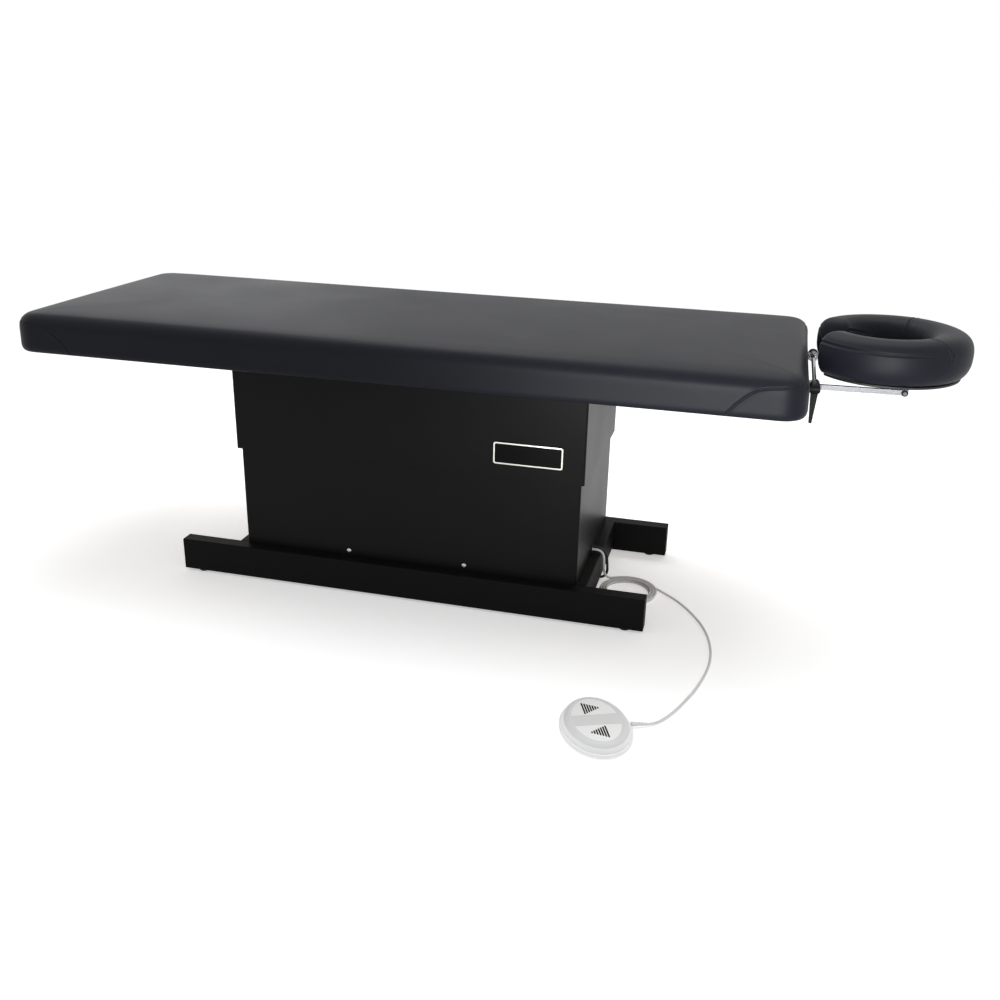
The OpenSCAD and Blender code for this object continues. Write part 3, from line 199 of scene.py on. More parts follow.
def addSpline(curve, points, cyclic=False):
    spline = curve.splines.new("POLY")
    spline.use_cyclic_u = cyclic
    spline.points.add(len(points) - 1)
    for i, p in enumerate(points):
        spline.points[i].co = (*p, 1)


def roundWire(name, points, radius, resolution):
    curve = bpy.data.curves.new(name, "CURVE")
    curve.dimensions = "3D"
    curve.bevel_depth = radius
    curve.bevel_resolution = resolution
    curve.use_fill_caps = True
    addSpline(curve, points)
    return linkObject(name, curve)


def filledPlate(name, outlines, thick, rounding, resolution, where):
    # a plate with rounded edges; the first outline is its rim and the others are holes
    curve = bpy.data.curves.new(name, "CURVE")
    curve.dimensions = "2D"
    curve.fill_mode = "BOTH"
    curve.extrude = thick / 2 - rounding
    curve.bevel_depth = rounding
    curve.bevel_resolution = resolution
    for outline in outlines:
        addSpline(curve, [(x, y, 0) for x, y in outline], cyclic=True)
    plate = meshOfCurve(linkObject(name, curve), name)
    for v in plate.data.vertices:
        v.co = where(v.co)
    cleanNormals(plate)
    return plate


def pathHost(name, points):
    mesh = bpy.data.meshes.new(name)
    mesh.from_pydata([tuple(p) for p in points], [(i, i + 1) for i in range(len(points) - 1)], [])
    return linkObject(name, mesh)


def spaced(points, least):
    # the points without those that lie too close behind another
    kept = [points[0]]
    for p in points[1:]:
        if (p - kept[-1]).length > least:
            kept.append(p)
    return kept


# camera, where the photograph was taken from
cameraSettings = {
    "place": (0.81223, -2.46477, 1.19518),
    "forward": (-0.23059, 0.90203, -0.36492),
    "down": (0.11242, -0.34782, -0.93080),
    "lens": 38.055,
    "sensor": 36.0,
    "clipEnd": 60,
}


def addCamera(s):
    data = bpy.data.cameras.new("photoCamera")
    data.lens = s["lens"]
    data.sensor_width = s["sensor"]
    data.clip_end = s["clipEnd"]
    back = -Vector(s["forward"]).normalized()
    up = -Vector(s["down"]).normalized()
    right = up.cross(back).normalized()
    turn = Matrix((right, back.cross(right), back)).transposed().to_4x4()
    scene.camera = linkObject("photoCamera", data)
    scene.camera.matrix_world = Matrix.Translation(s["place"]) @ turn


addCamera(cameraSettings)

# node trees, for finishes and for repeated shapes


def newTree(name, kind, inputs, outputs):
    # inputs: name to kind of socket and start value; outputs: name to kind of socket
    tree = bpy.data.node_groups.new(name, kind)
    for label, (socketKind, value) in inputs.items():
        socket = tree.interface.new_socket(label, in_out="INPUT", socket_type="NodeSocket" + socketKind)
        if value is not None:
            socket.default_value = value
    for label, socketKind in outputs.items():
        tree.interface.new_socket(label, in_out="OUTPUT", socket_type="NodeSocket" + socketKind)
    return tree, tree.nodes.new("NodeGroupInput").outputs, tree.nodes.new("NodeGroupOutput")


def feed(tree, node, inputs):
    # each input, by name or number, takes a value or another node's output
    for key, value in inputs.items():
        if isinstance(value, bpy.types.NodeSocket):
            tree.links.new(value, node.inputs[key])
        else:
            node.inputs[key].default_value = value


def addNode(tree, kind, inputs=None, **properties):
    node = tree.nodes.new(kind)
    for key, value in properties.items():
        setattr(node, key, value)
    feed(tree, node, inputs or {})
    return node


def maths(tree, operation, *terms):
    return addNode(tree, "ShaderNodeMath", dict(enumerate(terms)), operation=operation).outputs[0]


def mixed(tree, factor, a, b):
    # inputs 6 and 7 and output 2 are a Mix node's colours
    return addNode(tree, "ShaderNodeMix", {"Factor": factor, 6: a, 7: b}, data_type="RGBA").outputs[2]


def makePebbleGroup():
    # fine cells of embossed vinyl
    tree, given, result = newTree("pebbleGrain", "ShaderNodeTree",
        {"Vector": ("Vector", None), "Scale": ("Float", 900.0)}, {"Height": "Float", "Shade": "Float"})
    place = given["Vector"]
    cells = addNode(tree, "ShaderNodeTexVoronoi", feature="SMOOTH_F1")
    feed(tree, cells, {"Vector": place, "Scale": given["Scale"], "Smoothness": 0.5})
    broad = addNode(tree, "ShaderNodeTexNoise", {"Vector": place, "Scale": 6.0, "Detail": 4.0})
    fineScale = maths(tree, "MULTIPLY", given["Scale"], 0.35)
    fine = addNode(tree, "ShaderNodeTexNoise", {"Vector": place, "Scale": fineScale, "Detail": 3.0})
    height = maths(tree, "ADD", cells.outputs["Distance"], maths(tree, "MULTIPLY", fine.outputs["Fac"], 0.6))
    feed(tree, result, {"Height": height, "Shade": broad.outputs["Fac"]})
    return tree


def makeCoatGroup():
    # orange peel and faint cloudiness of paint, plastic, rubber or metal
    tree, given, result = newTree("coatPeel", "ShaderNodeTree",
        {"Vector": ("Vector", None), "Scale": ("Float", 700.0)}, {"Height": "Float", "Shade": "Float"})
    peel = addNode(tree, "ShaderNodeTexNoise",
        {"Vector": given["Vector"], "Scale": given["Scale"], "Detail": 2.0, "Roughness": 0.6})
    cloud = addNode(tree, "ShaderNodeTexNoise", {"Vector": given["Vector"], "Scale": 5.0, "Detail": 5.0})
    feed(tree, result, {"Height": peel.outputs["Fac"], "Shade": cloud.outputs["Fac"]})
    return tree


def makeDustGroup():
    # a little pale dust on what faces up
    tree, given, result = newTree("faintDust", "ShaderNodeTree",
        {"Vector": ("Vector", None), "Color": ("Color", (0, 0, 0, 1)),
            "Dust": ("Color", (0.35, 0.34, 0.32, 1)), "Amount": ("Float", 0.05)}, {"Color": "Color"})
    facing = addNode(tree, "ShaderNodeNewGeometry")
    split = addNode(tree, "ShaderNodeSeparateXYZ", {0: facing.outputs["Normal"]})
    specks = addNode(tree, "ShaderNodeTexNoise", {"Vector": given["Vector"], "Scale": 40.0, "Detail": 6.0})
    up = maths(tree, "MAXIMUM", split.outputs["Z"], 0)
    amount = maths(tree, "MULTIPLY", maths(tree, "MULTIPLY", up, specks.outputs["Fac"]), given["Amount"])
    feed(tree, result, {"Color": mixed(tree, amount, given["Color"], given["Dust"])})
    return tree


def makeWoodGroup():
    # long grain along X
    tree, given, result = newTree("plankGrain", "ShaderNodeTree",
        {"Vector": ("Vector", None), "Light": ("Color", (0.6, 0.42, 0.24, 1)),
            "Dark": ("Color", (0.38, 0.23, 0.11, 1))}, {"Color": "Color", "Height": "Float"})
    stretch = addNode(tree, "ShaderNodeMapping", {"Vector": given["Vector"], "Scale": (1.2, 14.0, 14.0)})
    place = stretch.outputs[0]
    rings = addNode(tree, "ShaderNodeTexNoise",
        {"Vector": place, "Scale": 3.5, "Detail": 7.0, "Distortion": 0.6})
    streaks = addNode(tree, "ShaderNodeTexNoise", {"Vector": place, "Scale": 22.0, "Detail": 5.0})
    broad = maths(tree, "MULTIPLY", rings.outputs["Fac"], 0.8)
    both = maths(tree, "MULTIPLY_ADD", streaks.outputs["Fac"], 0.4, broad)
    feed(tree, result, {"Color": mixed(tree, both, given["Light"], given["Dark"]), "Height": both})
    return tree


groups = {"pebble": makePebbleGroup(), "coat": makeCoatGroup(), "dust": makeDustGroup(),
    "wood": makeWoodGroup()}


def linear(level):
    # a screen level from 0 to 255 as a linear value
    v = level / 255
    return v / 12.92 if v <= 0.04045 else ((v + 0.055) / 1.055) ** 2.4


def shade(r, g, b):
    return (linear(r), linear(g), linear(b), 1)


def startFinish(name):
    material = bpy.data.materials.new(name)
    material.use_nodes = True
    tree = material.node_tree
    place = addNode(tree, "ShaderNodeTexCoord").outputs["Object"]
    return material, tree, tree.nodes["Principled BSDF"], place


def useGroup(tree, key, inputs):
    return addNode(tree, "ShaderNodeGroup", inputs, node_tree=groups[key]).outputs


def bumpFrom(tree, height, s):
    inputs = {"Strength": s["bump"], "Distance": s["bumpDepth"], "Height": height}
    return addNode(tree, "ShaderNodeBump", inputs).outputs[0]


def between(tree, value, low, high):
    return maths(tree, "MULTIPLY_ADD", value, high - low, low)


def skinFinish(name, s):
    # vinyl, paint, plastic or rubber, by its grain
    material, tree, surface, place = startFinish(name)
    grain = useGroup(tree, s["grain"], {"Vector": place, "Scale": s["scale"]})
    color = mixed(tree, grain["Shade"], s["deep"], s["pale"])
    dusty = useGroup(tree, "dust", {"Vector": place, "Color": color, "Amount": s["dust"]})
    feed(tree, surface, {"Base Color": dusty["Color"], "Specular IOR Level": s["specular"],
        "Roughness": between(tree, grain["Shade"], *s["roughness"]),
        "Normal": bumpFrom(tree, grain["Height"], s)})
    return material


def metalFinish(name, s):
    material, tree, surface, place = startFinish(name)
    brushed = addNode(tree, "ShaderNodeMapping", {"Vector": place, "Scale": s["brush"]})
    grain = useGroup(tree, "coat", {"Vector": brushed.outputs[0], "Scale": s["scale"]})
    feed(tree, surface, {"Base Color": mixed(tree, grain["Shade"], s["deep"], s["pale"]), "Metallic": 1,
        "Roughness": between(tree, grain["Height"], *s["roughness"]),
        "Normal": bumpFrom(tree, grain["Height"], s)})
    return material


def woodFinish(name, s):
    material, tree, surface, place = startFinish(name)
    grain = useGroup(tree, "wood", {"Vector": place, "Light": s["pale"], "Dark": s["deep"]})
    feed(tree, surface, {"Base Color": grain["Color"], "Normal": bumpFrom(tree, grain["Height"], s),
        "Roughness": between(tree, grain["Height"], *s["roughness"])})
    return material


# what each kind of finish starts from
finishKinds = {
    "skin": (skinFinish, {"grain": "coat", "scale": 700.0, "roughness": (0.38, 0.5), "specular": 0.3,
        "bump": 0.25, "bumpDepth": 0.0002, "dust": 0.03}),
    "metal": (metalFinish, {"brush": (1, 8, 8), "scale": 90.0, "roughness": (0.2, 0.36), "bump": 0.1,
        "bumpDepth": 0.0001}),
    "wood": (woodFinish, {"roughness": (0.5, 0.7), "bump": 0.3, "bumpDepth": 0.0004}),
}
# each finish: its kind, its darker and lighter shade as screen levels, and what differs from its kind
finishSettings = {
    "vinyl": ("skin", (17, 18, 24), (22, 23, 30), {"grain": "pebble", "scale": 750.0,
        "roughness": (0.42, 0.52), "specular": 0.10, "bump": 0.18, "bumpDepth": 0.0004, "dust": 0.008}),
    "frame_paint": ("skin", (12, 12, 12), (17, 17, 17), {"roughness": (0.5, 0.62), "specular": 0.06,
        "dust": 0.01}),
    "cover_paint": ("skin", (13, 13, 13), (18, 18, 18), {"roughness": (0.34, 0.44), "specular": 0.08,
        "dust": 0.01}),
    "plate_steel": ("skin", (44, 45, 47), (58, 58, 60), {}),
    "plate_black": ("skin", (5, 5, 6), (8, 8, 9), {"roughness": (0.35, 0.42), "specular": 0.06,
        "dust": 0.005}),
    "actuator_paint": ("skin", (40, 41, 44), (52, 52, 55), {}),
    "foot_rubber": ("skin", (22, 22, 22), (34, 34, 34), {"roughness": (0.7, 0.85), "scale": 350.0}),
    "grommet_rubber": ("skin", (14, 14, 14), (22, 22, 22), {"roughness": (0.55, 0.7)}),
    "box_plastic": ("skin", (36, 37, 39), (46, 46, 48), {"roughness": (0.5, 0.6), "scale": 500.0}),
    "lever_plastic": ("skin", (8, 8, 8), (13, 13, 13), {"roughness": (0.4, 0.5), "specular": 0.08}),
    "platform_plastic": ("skin", (20, 20, 21), (28, 28, 29), {"roughness": (0.5, 0.6)}),
    "switch_white": ("skin", (243, 243, 242), (249, 249, 248), {"roughness": (0.3, 0.4), "specular": 0.5,
        "bump": 0.06, "dust": 0.02}),
    "switch_grey": ("skin", (217, 217, 218), (226, 226, 227), {"roughness": (0.42, 0.52), "specular": 0.45,
        "bump": 0.12, "dust": 0.02}),
    "micro_plastic": ("skin", (18, 18, 18), (26, 26, 26), {}),
    "cord_white": ("skin", (218, 218, 217), (230, 230, 229), {"roughness": (0.4, 0.5), "specular": 0.5,
        "bump": 0.05, "dust": 0.02}),
    "cord_black": ("skin", (16, 16, 17), (26, 26, 27), {"roughness": (0.42, 0.52)}),
    "plug_plastic": ("skin", (16, 16, 17), (24, 24, 25), {"roughness": (0.5, 0.6)}),
    "glide_nylon": ("skin", (214, 212, 204), (224, 222, 214), {"roughness": (0.45, 0.55)}),
    "screw_steel": ("metal", (176, 177, 180), (206, 206, 208), {}),
    "bright_steel": ("metal", (118, 119, 122), (148, 148, 151), {"brush": (8, 1, 8),
        "roughness": (0.05, 0.10), "bump": 0.04}),
    "post_aluminium": ("metal", (76, 77, 79), (90, 91, 93), {"roughness": (0.36, 0.46)}),
    "frame_wood": ("wood", (150, 112, 70), (206, 172, 122), {}),
    "plywood": ("wood", (168, 130, 86), (214, 182, 132), {}),
    "seamThread": ("skin", (12, 12, 14), (20, 20, 22), {"roughness": (0.6, 0.75)}),
    "plateRim": ("metal", (206, 205, 196), (226, 224, 214), {"roughness": (0.3, 0.45)}),
    "printInk": ("skin", (5, 5, 5), (9, 9, 9), {"roughness": (0.6, 0.7), "specular": 0.05}),
    "plugBlades": ("metal", (190, 170, 110), (214, 196, 140), {}),
}


def makeFinish(name, kind, deep, pale, changes):
    make, start = finishKinds[kind]
    return make(name, {**start, "deep": shade(*deep), "pale": shade(*pale), **changes})


finishes = {name: makeFinish(name, *row) for name, row in finishSettings.items()}
for part in frame["record"]["subparts"]:
    cadPiece = nodes[part["node"]]
    cadPiece.data.materials.clear()
    cadPiece.data.materials.append(finishes[part["material_slot"]])
print("finishes made:", len(finishes), sinceStart(), "s")

# geometry node trees


def newShape(name, inputs):
    return newTree(name, "GeometryNodeTree",
        {"Geometry": ("Geometry", None), **inputs, "Material": ("Material", None)}, {"Geometry": "Geometry"})


def endShape(tree, given, result, geometry):
    real = addNode(tree, "GeometryNodeRealizeInstances", {0: geometry})
    paint = addNode(tree, "GeometryNodeSetMaterial",
        {"Geometry": real.outputs[0], "Material": given["Material"]})
    feed(tree, result, {0: paint.outputs[0]})
    return tree


def copiesAt(tree, given, points, turns):
    shape = addNode(tree, "GeometryNodeObjectInfo", {"Object": given["Piece"]})
    inputs = {"Points": points, "Rotation": turns, "Instance": shape.outputs["Geometry"]}
    return addNode(tree, "GeometryNodeInstanceOnPoints", inputs).outputs[0]


def runTree(host, tree, values):
    modifier = host.modifiers.new(tree.name, "NODES")
    modifier.node_group = tree
    for item in tree.interface.items_tree:
        if item.item_type == "SOCKET" and item.in_out == "INPUT" and item.name in values:
            modifier[item.identifier] = values[item.name]
    return applyModifiers(host)


def makeRowTree():
    # copies of one small piece along a path, turned with it
    tree, given, result = newShape("rowAlongPath", {"Spacing": ("Float", 0.01), "Piece": ("Object", None)})
    path = addNode(tree, "GeometryNodeMeshToCurve", {0: given["Geometry"]})
    steps = addNode(tree, "GeometryNodeCurveToPoints", {0: path.outputs[0], "Length": given["Spacing"]},
        mode="LENGTH").outputs
    return endShape(tree, given, result, copiesAt(tree, given, steps["Points"], steps["Rotation"]))


def makePlaceTree():
    # copies of one small piece at points, each standing along the point's own direction
    tree, given, result = newShape("piecesAtPoints", {"Piece": ("Object", None)})
    aim = addNode(tree, "GeometryNodeInputNamedAttribute", {"Name": "aim"}, data_type="FLOAT_VECTOR")
    turn = addNode(tree, "FunctionNodeAlignRotationToVector", {"Vector": aim.outputs[0]}, axis="Z")
    return endShape(tree, given, result, copiesAt(tree, given, given["Geometry"], turn.outputs[0]))


def makeSleeveTree():
    # a tapered sleeve along a path, with ribs after its plain start
    tree, given, result = newShape("ribbedSleeve", {"Start radius": ("Float", 0.005),
        "End radius": ("Float", 0.003), "Ribs": ("Float", 6.0), "Rib depth": ("Float", 0.0006),
        "Plain share": ("Float", 0.18), "Notch level": ("Float", 0.25)})
    path = addNode(tree, "GeometryNodeMeshToCurve", {0: given["Geometry"]})
    fine = addNode(tree, "GeometryNodeResampleCurve", {0: path.outputs[0], "Count": 72})
    part = addNode(tree, "GeometryNodeSplineParameter").outputs["Factor"]
    growth = maths(tree, "SUBTRACT", given["End radius"], given["Start radius"])
    taper = maths(tree, "MULTIPLY_ADD", part, growth, given["Start radius"])
    turned = maths(tree, "MULTIPLY", maths(tree, "MULTIPLY", part, given["Ribs"]), math.tau)
    notched = maths(tree, "GREATER_THAN", maths(tree, "SINE", turned), given["Notch level"])
    notch = maths(tree, "MULTIPLY", notched, given["Rib depth"])
    inside = maths(tree, "MULTIPLY", maths(tree, "GREATER_THAN", part, given["Plain share"]), notch)
    thick = addNode(tree, "GeometryNodeSetCurveRadius",
        {"Curve": fine.outputs[0], "Radius": maths(tree, "SUBTRACT", taper, inside)})
    ring = addNode(tree, "GeometryNodeCurvePrimitiveCircle", {"Resolution": 24, "Radius": 1})
    radius = addNode(tree, "GeometryNodeInputRadius")
    tube = addNode(tree, "GeometryNodeCurveToMesh", {"Curve": thick.outputs[0],
        "Profile Curve": ring.outputs[0], "Scale": radius.outputs[0], "Fill Caps": True})
    return endShape(tree, given, result, tube.outputs[0])


def makeFanTree():
    # bars side by side that grow shorter, as a striped triangle
    tree, given, result = newShape("stripeFan", {"Count": ("Int", 7), "Pitch": ("Float", 0.004),
        "Bar": ("Float", 0.0024), "Reach": ("Float", 0.034), "Rise": ("Float", 0.0002)})
    step = addNode(tree, "ShaderNodeCombineXYZ", {"X": given["Pitch"]})
    row = addNode(tree, "GeometryNodeMeshLine", {"Count": given["Count"], "Offset": step.outputs[0]})
    size = addNode(tree, "ShaderNodeCombineXYZ", {"X": given["Bar"], "Y": given["Reach"], "Z": given["Rise"]})
    block = addNode(tree, "GeometryNodeMeshCube", {"Size": size.outputs[0]})
    index = addNode(tree, "GeometryNodeInputIndex")
    left = maths(tree, "SUBTRACT", given["Count"], index.outputs[0])
    share = maths(tree, "DIVIDE", left, given["Count"])
    grow = addNode(tree, "ShaderNodeCombineXYZ", {"X": 1, "Y": share, "Z": 1})
    copies = addNode(tree, "GeometryNodeInstanceOnPoints",
        {"Points": row.outputs[0], "Instance": block.outputs[0], "Scale": grow.outputs[0]})
    return endShape(tree, given, result, copies.outputs[0])


nodeTrees = {"row": makeRowTree(), "place": makePlaceTree(), "sleeve": makeSleeveTree(), "fan": makeFanTree()}

# cords, along the same routes as their solids, in millimetres
switchCord = {
    "diameter": 6.0, "length": 3.35, "coilAt": (532, -37), "coilRadius": 73, "layers": 2, "turns": 6,
    "start": 50, "end": 120, "exitAlong": 73, "exitAcross": 2, "exitHeight": 9, "reliefLong": 30,
    "reliefDrop": 2.4, "reliefRadii": (5.2, 3.2),
    "floor": [(670, -620, 4.4), (683, -605, 3.2), (697, -581, 3.2), (711, -550, 3.2), (724, -514, 3.2),
        (737, -475, 3.2), (747, -435, 3.2), (755, -395, 3.2), (760, -355, 3.2), (761, -315, 3.2),
        (758, -275, 3.2), (751, -235, 3.2), (740, -195, 3.2), (725, -157, 3.2), (706, -121, 3.2),
        (684, -86, 3.2), (662, -57, 3.2), (641, -35, 3.2), (617, -13, 3.2)],
    "riser": [(477, 15.5, 11.5), (470, 9.5, 17), (465.5, 3.5, 27), (463.5, -2, 40), (463, -6.5, 55),
        (463, -10, 70), (462, -12, 82), (457.5, -13, 92), (449, -13, 97.5)],
    "outlet": (431.5, -13, 98.5),
}
mainsCord = {
    "diameter": 7.0, "length": 2.79, "coilAt": (338, -30), "coilRadius": 48, "layers": 4, "turns": 10,
    "start": 100, "end": 180, "reliefRadii": (5.4, 3.7), "outlet": (431.5, 0, 98.5),
    "relief": [(440, 0, 98.5), (447, 0, 97.5), (453, 0.5, 94.8)],
    "fall": [(459.5, 1.5, 90.2), (464, 3, 84), (467, 4.5, 77), (468, 6, 69), (468.5, 10, 58), (469, 14, 45),
        (469, 18, 32), (467, 19, 21), (461.6, 21.6, 11.9), (453.4, 25.5, 5.8), (443.8, 30, 3.7),
        (428, 36, 3.7), (410, 37, 3.7), (392, 33.5, 3.7), (374, 28.5, 3.7), (356, 23, 3.7)],
    "tail": [(291, -56, 22), (291, -68, 17.5), (291.5, -80, 14.5), (292, -90, 13.2)],
    "plugAt": (292, -104, 13),
}
cordSettings = {"coilRings": 48, "coilGap": 0.5, "floorGap": 0.2, "climbTurns": 0.5, "routeSteps": 4,
    "pointGap": 0.2, "resolution": 3, "reliefSteps": 8, "ribs": 5.0, "ribDepth": 0.7, "plainShare": 0.18,
    "notchLevel": 0.25}
switchCentre = (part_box("switch_base")[0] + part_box("switch_base")[1]) / 2
switchAngle = math.radians(23)


def vectors(points):
    return [Vector(p) for p in points]


def smoothRoute(points, steps):
    p = vectors(points)
    made = []
    for i in range(len(p) - 1):
        a, b, c, d = p[max(i - 1, 0)], p[i], p[i + 1], p[min(i + 2, len(p) - 1)]
        for k in range(steps):
            t = k / steps
            made.append(0.5 * (2 * b + (c - a) * t + (2 * a - 5 * b + 4 * c - d) * t * t
                + (3 * b - a - 3 * c + d) * t * t * t))
    return made + [p[-1]]


def coilRoute(s):
    # piled loops that spiral in and out again and climb a layer where they turn round
    rings, climbing = cordSettings["coilRings"], cordSettings["climbTurns"]
    pitch = s["diameter"] + cordSettings["coilGap"]
    lowest = s["diameter"] / 2 + cordSettings["floorGap"]
    turns = s["turns"] + (s["end"] - s["start"]) / 360
    perLayer = turns / s["layers"]
    made = []
    steps = round(turns * rings)
    for i in range(steps + 1):
        turn = turns * i / steps
        layer = math.floor(turn / perLayer)
        inLayer = turn - layer * perLayer
        radius = s["coilRadius"] - pitch * (inLayer if layer % 2 == 0 else perLayer - inLayer)
        climbed = sum(min(1, max(0, (turn - b * perLayer) / climbing + 0.5)) for b in range(1, s["layers"]))
        angle = math.radians(s["start"] + 360 * turn)
        made.append(Vector((s["coilAt"][0] + radius * math.cos(angle),
            s["coilAt"][1] + radius * math.sin(angle), lowest + pitch * climbed)))
    return [ahead(made[1], made[0], s)] + made + [ahead(made[-2], made[-1], s)]


def ahead(a, b, s):
    # one diameter on, past b
    return b + s["diameter"] * (b - a).normalized()


def wholeRoute(s, before, after):
    # what comes before the coil, the coil, and what comes after it
    coil = coilRoute(s)
    steps = cordSettings["routeSteps"]
    first = smoothRoute(before + [ahead(coil[1], coil[0], s), coil[0]], steps)
    last = smoothRoute([coil[-1], ahead(coil[-2], coil[-1], s)] + after, steps)
    return spaced(first + coil[1:-1] + last, cordSettings["pointGap"])


def cordPiece(name, points, s, slotName):
    wire = [p * millimetre for p in points]
    piece = roundWire(name, wire, s["diameter"] / 2 * millimetre, cordSettings["resolution"])
    piece.data.materials.append(finishes[slotName])
    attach(piece, "base")
    print(name, round(sum((b - a).length for a, b in zip(wire, wire[1:])), 4), "m")
    return piece


def reliefSleeve(name, points, radii, slotName, nodeName):
    s = cordSettings
    host = pathHost(name, [p * millimetre for p in smoothRoute(points, s["reliefSteps"])])
    sleeve = runTree(host, nodeTrees["sleeve"], {"Start radius": radii[0] * millimetre,
        "End radius": radii[1] * millimetre, "Ribs": s["ribs"], "Rib depth": s["ribDepth"] * millimetre,
        "Plain share": s["plainShare"], "Notch level": s["notchLevel"], "Material": finishes[slotName]})
    return finishPiece(sleeve, "base", slotName, (nodeName,), angle=30)


def makeSwitchCord(s):
    along = Vector((math.cos(switchAngle), math.sin(switchAngle), 0))
    across = Vector((-along.y, along.x, 0))
    start = Vector((switchCentre.x, switchCentre.y, 0)) / millimetre
    start += Vector((0, 0, s["exitHeight"])) + s["exitAlong"] * along + s["exitAcross"] * across
    down = Vector((0, 0, -s["reliefDrop"]))
    relief = [start, start + s["reliefLong"] / 2 * along + down / 3, start + s["reliefLong"] * along + down]
    onFloor = relief + [ahead(relief[1], relief[2], s)] + vectors(s["floor"])
    end = Vector(s["outlet"])
    up = vectors(s["riser"]) + [end + Vector((s["diameter"], 0, 0)), end]
    piece = cordPiece("switchCord", wholeRoute(s, onFloor, up), s, "cord_white")
    sleeve = reliefSleeve("switchRelief", relief, s["reliefRadii"], "cord_white", "switch_strain_relief")
    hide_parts("switch_cable", "switch_cable_coil", "switch_cable_riser")


def makeMainsCord(s):
    start, plug = vectors((s["outlet"], s["plugAt"]))
    relief = [start] + vectors(s["relief"])
    out = vectors(s["tail"]) + [plug + Vector((0, s["diameter"], 0)), plug]
    piece = cordPiece("mainsLead", wholeRoute(s, relief + vectors(s["fall"]), out), s, "cord_black")
    sleeve = reliefSleeve("mainsRelief", relief, s["reliefRadii"], "cord_black", "mains_strain_relief")
    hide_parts("mains_cable", "mains_cable_coil", "mains_cable_tail")


makeSwitchCord(switchCord)
makeMainsCord(mainsCord)
print("cords laid", sinceStart(), "s")

# floor, backdrop and light
stageSettings = {"floorReach": 14.0, "whiteFrom": 1.9, "whiteTo": 4.2, "floorColor": 0.86,
    "floorRoughness": 0.9, "floorSpecular": 0.1, "ownLight": 0.16, "seenLight": 0.26,
    "worldColor": (0.98, 0.99, 1.0), "worldLight": 0.64}
lampSettings = [
    {"name": "overhead", "place": (0.2, 0.7, 3.0), "aim": (0.0, 0.1, 0.4), "size": (3.2, 2.2), "power": 68,
        "spread": 180},
    {"name": "headSide", "place": (0.92, -1.85, 0.50), "aim": (0.95, -0.34, 0.66), "size": (1.3, 0.20),
        "power": 4.7, "spread": 45},
    {"name": "farSide", "place": (-2.4, 2.6, 1.5), "aim": (-0.6, 0.0, 0.66), "size": (2.0, 1.0), "power": 6,
        "spread": 180},
]


def seenDirectly(tree):
    rays = addNode(tree, "ShaderNodeLightPath").outputs
    most = maths(tree, "MAXIMUM", rays["Is Camera Ray"], rays["Is Glossy Ray"])
    return maths(tree, "MAXIMUM", most, rays["Is Transmission Ray"])


def makeFloor(s):
    # a pale floor that takes the shadow and turns white far out
    half = s["floorReach"] / 2
    corners = [(-half, -half, 0), (half, -half, 0), (half, half, 0), (-half, half, 0)]
    floor = meshFrom("floor", corners, [(0, 1, 2, 3)])
    material, tree, surface, place = startFinish("paleFloor")
    seen = seenDirectly(tree)
    feed(tree, surface, {"Roughness": s["floorRoughness"], "Specular IOR Level": s["floorSpecular"],
        "Base Color": (s["floorColor"],) * 3 + (1,), "Emission Color": (1, 1, 1, 1),
        "Emission Strength": maths(tree, "MULTIPLY_ADD", seen, s["seenLight"], s["ownLight"])})
    away = addNode(tree, "ShaderNodeVectorMath", {0: place}, operation="LENGTH").outputs["Value"]
    reach = {"Value": away, "From Min": s["whiteFrom"], "From Max": s["whiteTo"]}
    farOut = addNode(tree, "ShaderNodeMapRange", reach, interpolation_type="SMOOTHSTEP")
    glow = addNode(tree, "ShaderNodeEmission")
    white = maths(tree, "MULTIPLY", farOut.outputs[0], seen)
    mix = addNode(tree, "ShaderNodeMixShader", {0: white, 1: surface.outputs[0], 2: glow.outputs[0]})
    feed(tree, tree.nodes["Material Output"], {"Surface": mix.outputs[0]})
    floor.data.materials.append(material)


def makeWorld(s):
    world = bpy.data.worlds.new("plainStudio")
    scene.world = world
    world.use_nodes = True
    tree = world.node_tree
    soft = tree.nodes["Background"]
    feed(tree, soft, {0: (*s["worldColor"], 1), 1: s["worldLight"]})
    white = addNode(tree, "ShaderNodeBackground", {0: (1, 1, 1, 1)})
    mix = addNode(tree, "ShaderNodeMixShader",
        {0: seenDirectly(tree), 1: soft.outputs[0], 2: white.outputs[0]})
    feed(tree, tree.nodes["World Output"], {"Surface": mix.outputs[0]})


def addLamp(s):
    data = bpy.data.lights.new(s["name"], "AREA")
    data.shape = "RECTANGLE"
    data.size, data.size_y = s["size"]
    data.energy = s["power"]
    data.spread = math.radians(s["spread"])
    look = Vector(s["aim"]) - Vector(s["place"])
    turn = look.to_track_quat("-Z", "Y").to_matrix().to_4x4()
    linkObject(s["name"], data).matrix_world = Matrix.Translation(s["place"]) @ turn


makeFloor(stageSettings)
makeWorld(stageSettings)
for lamp in lampSettings:
    addLamp(lamp)
scene.view_settings.view_transform = "Standard"
print("stage and light set", sinceStart(), "s")

# simulated upholstery
clothSettings = {"quality": 4, "mass": 0.25, "evenShare": 0.5}
seamSettings = {"lipAway": 2.2, "reach": 5, "resolution": 2}    # the first two in widths of the groove


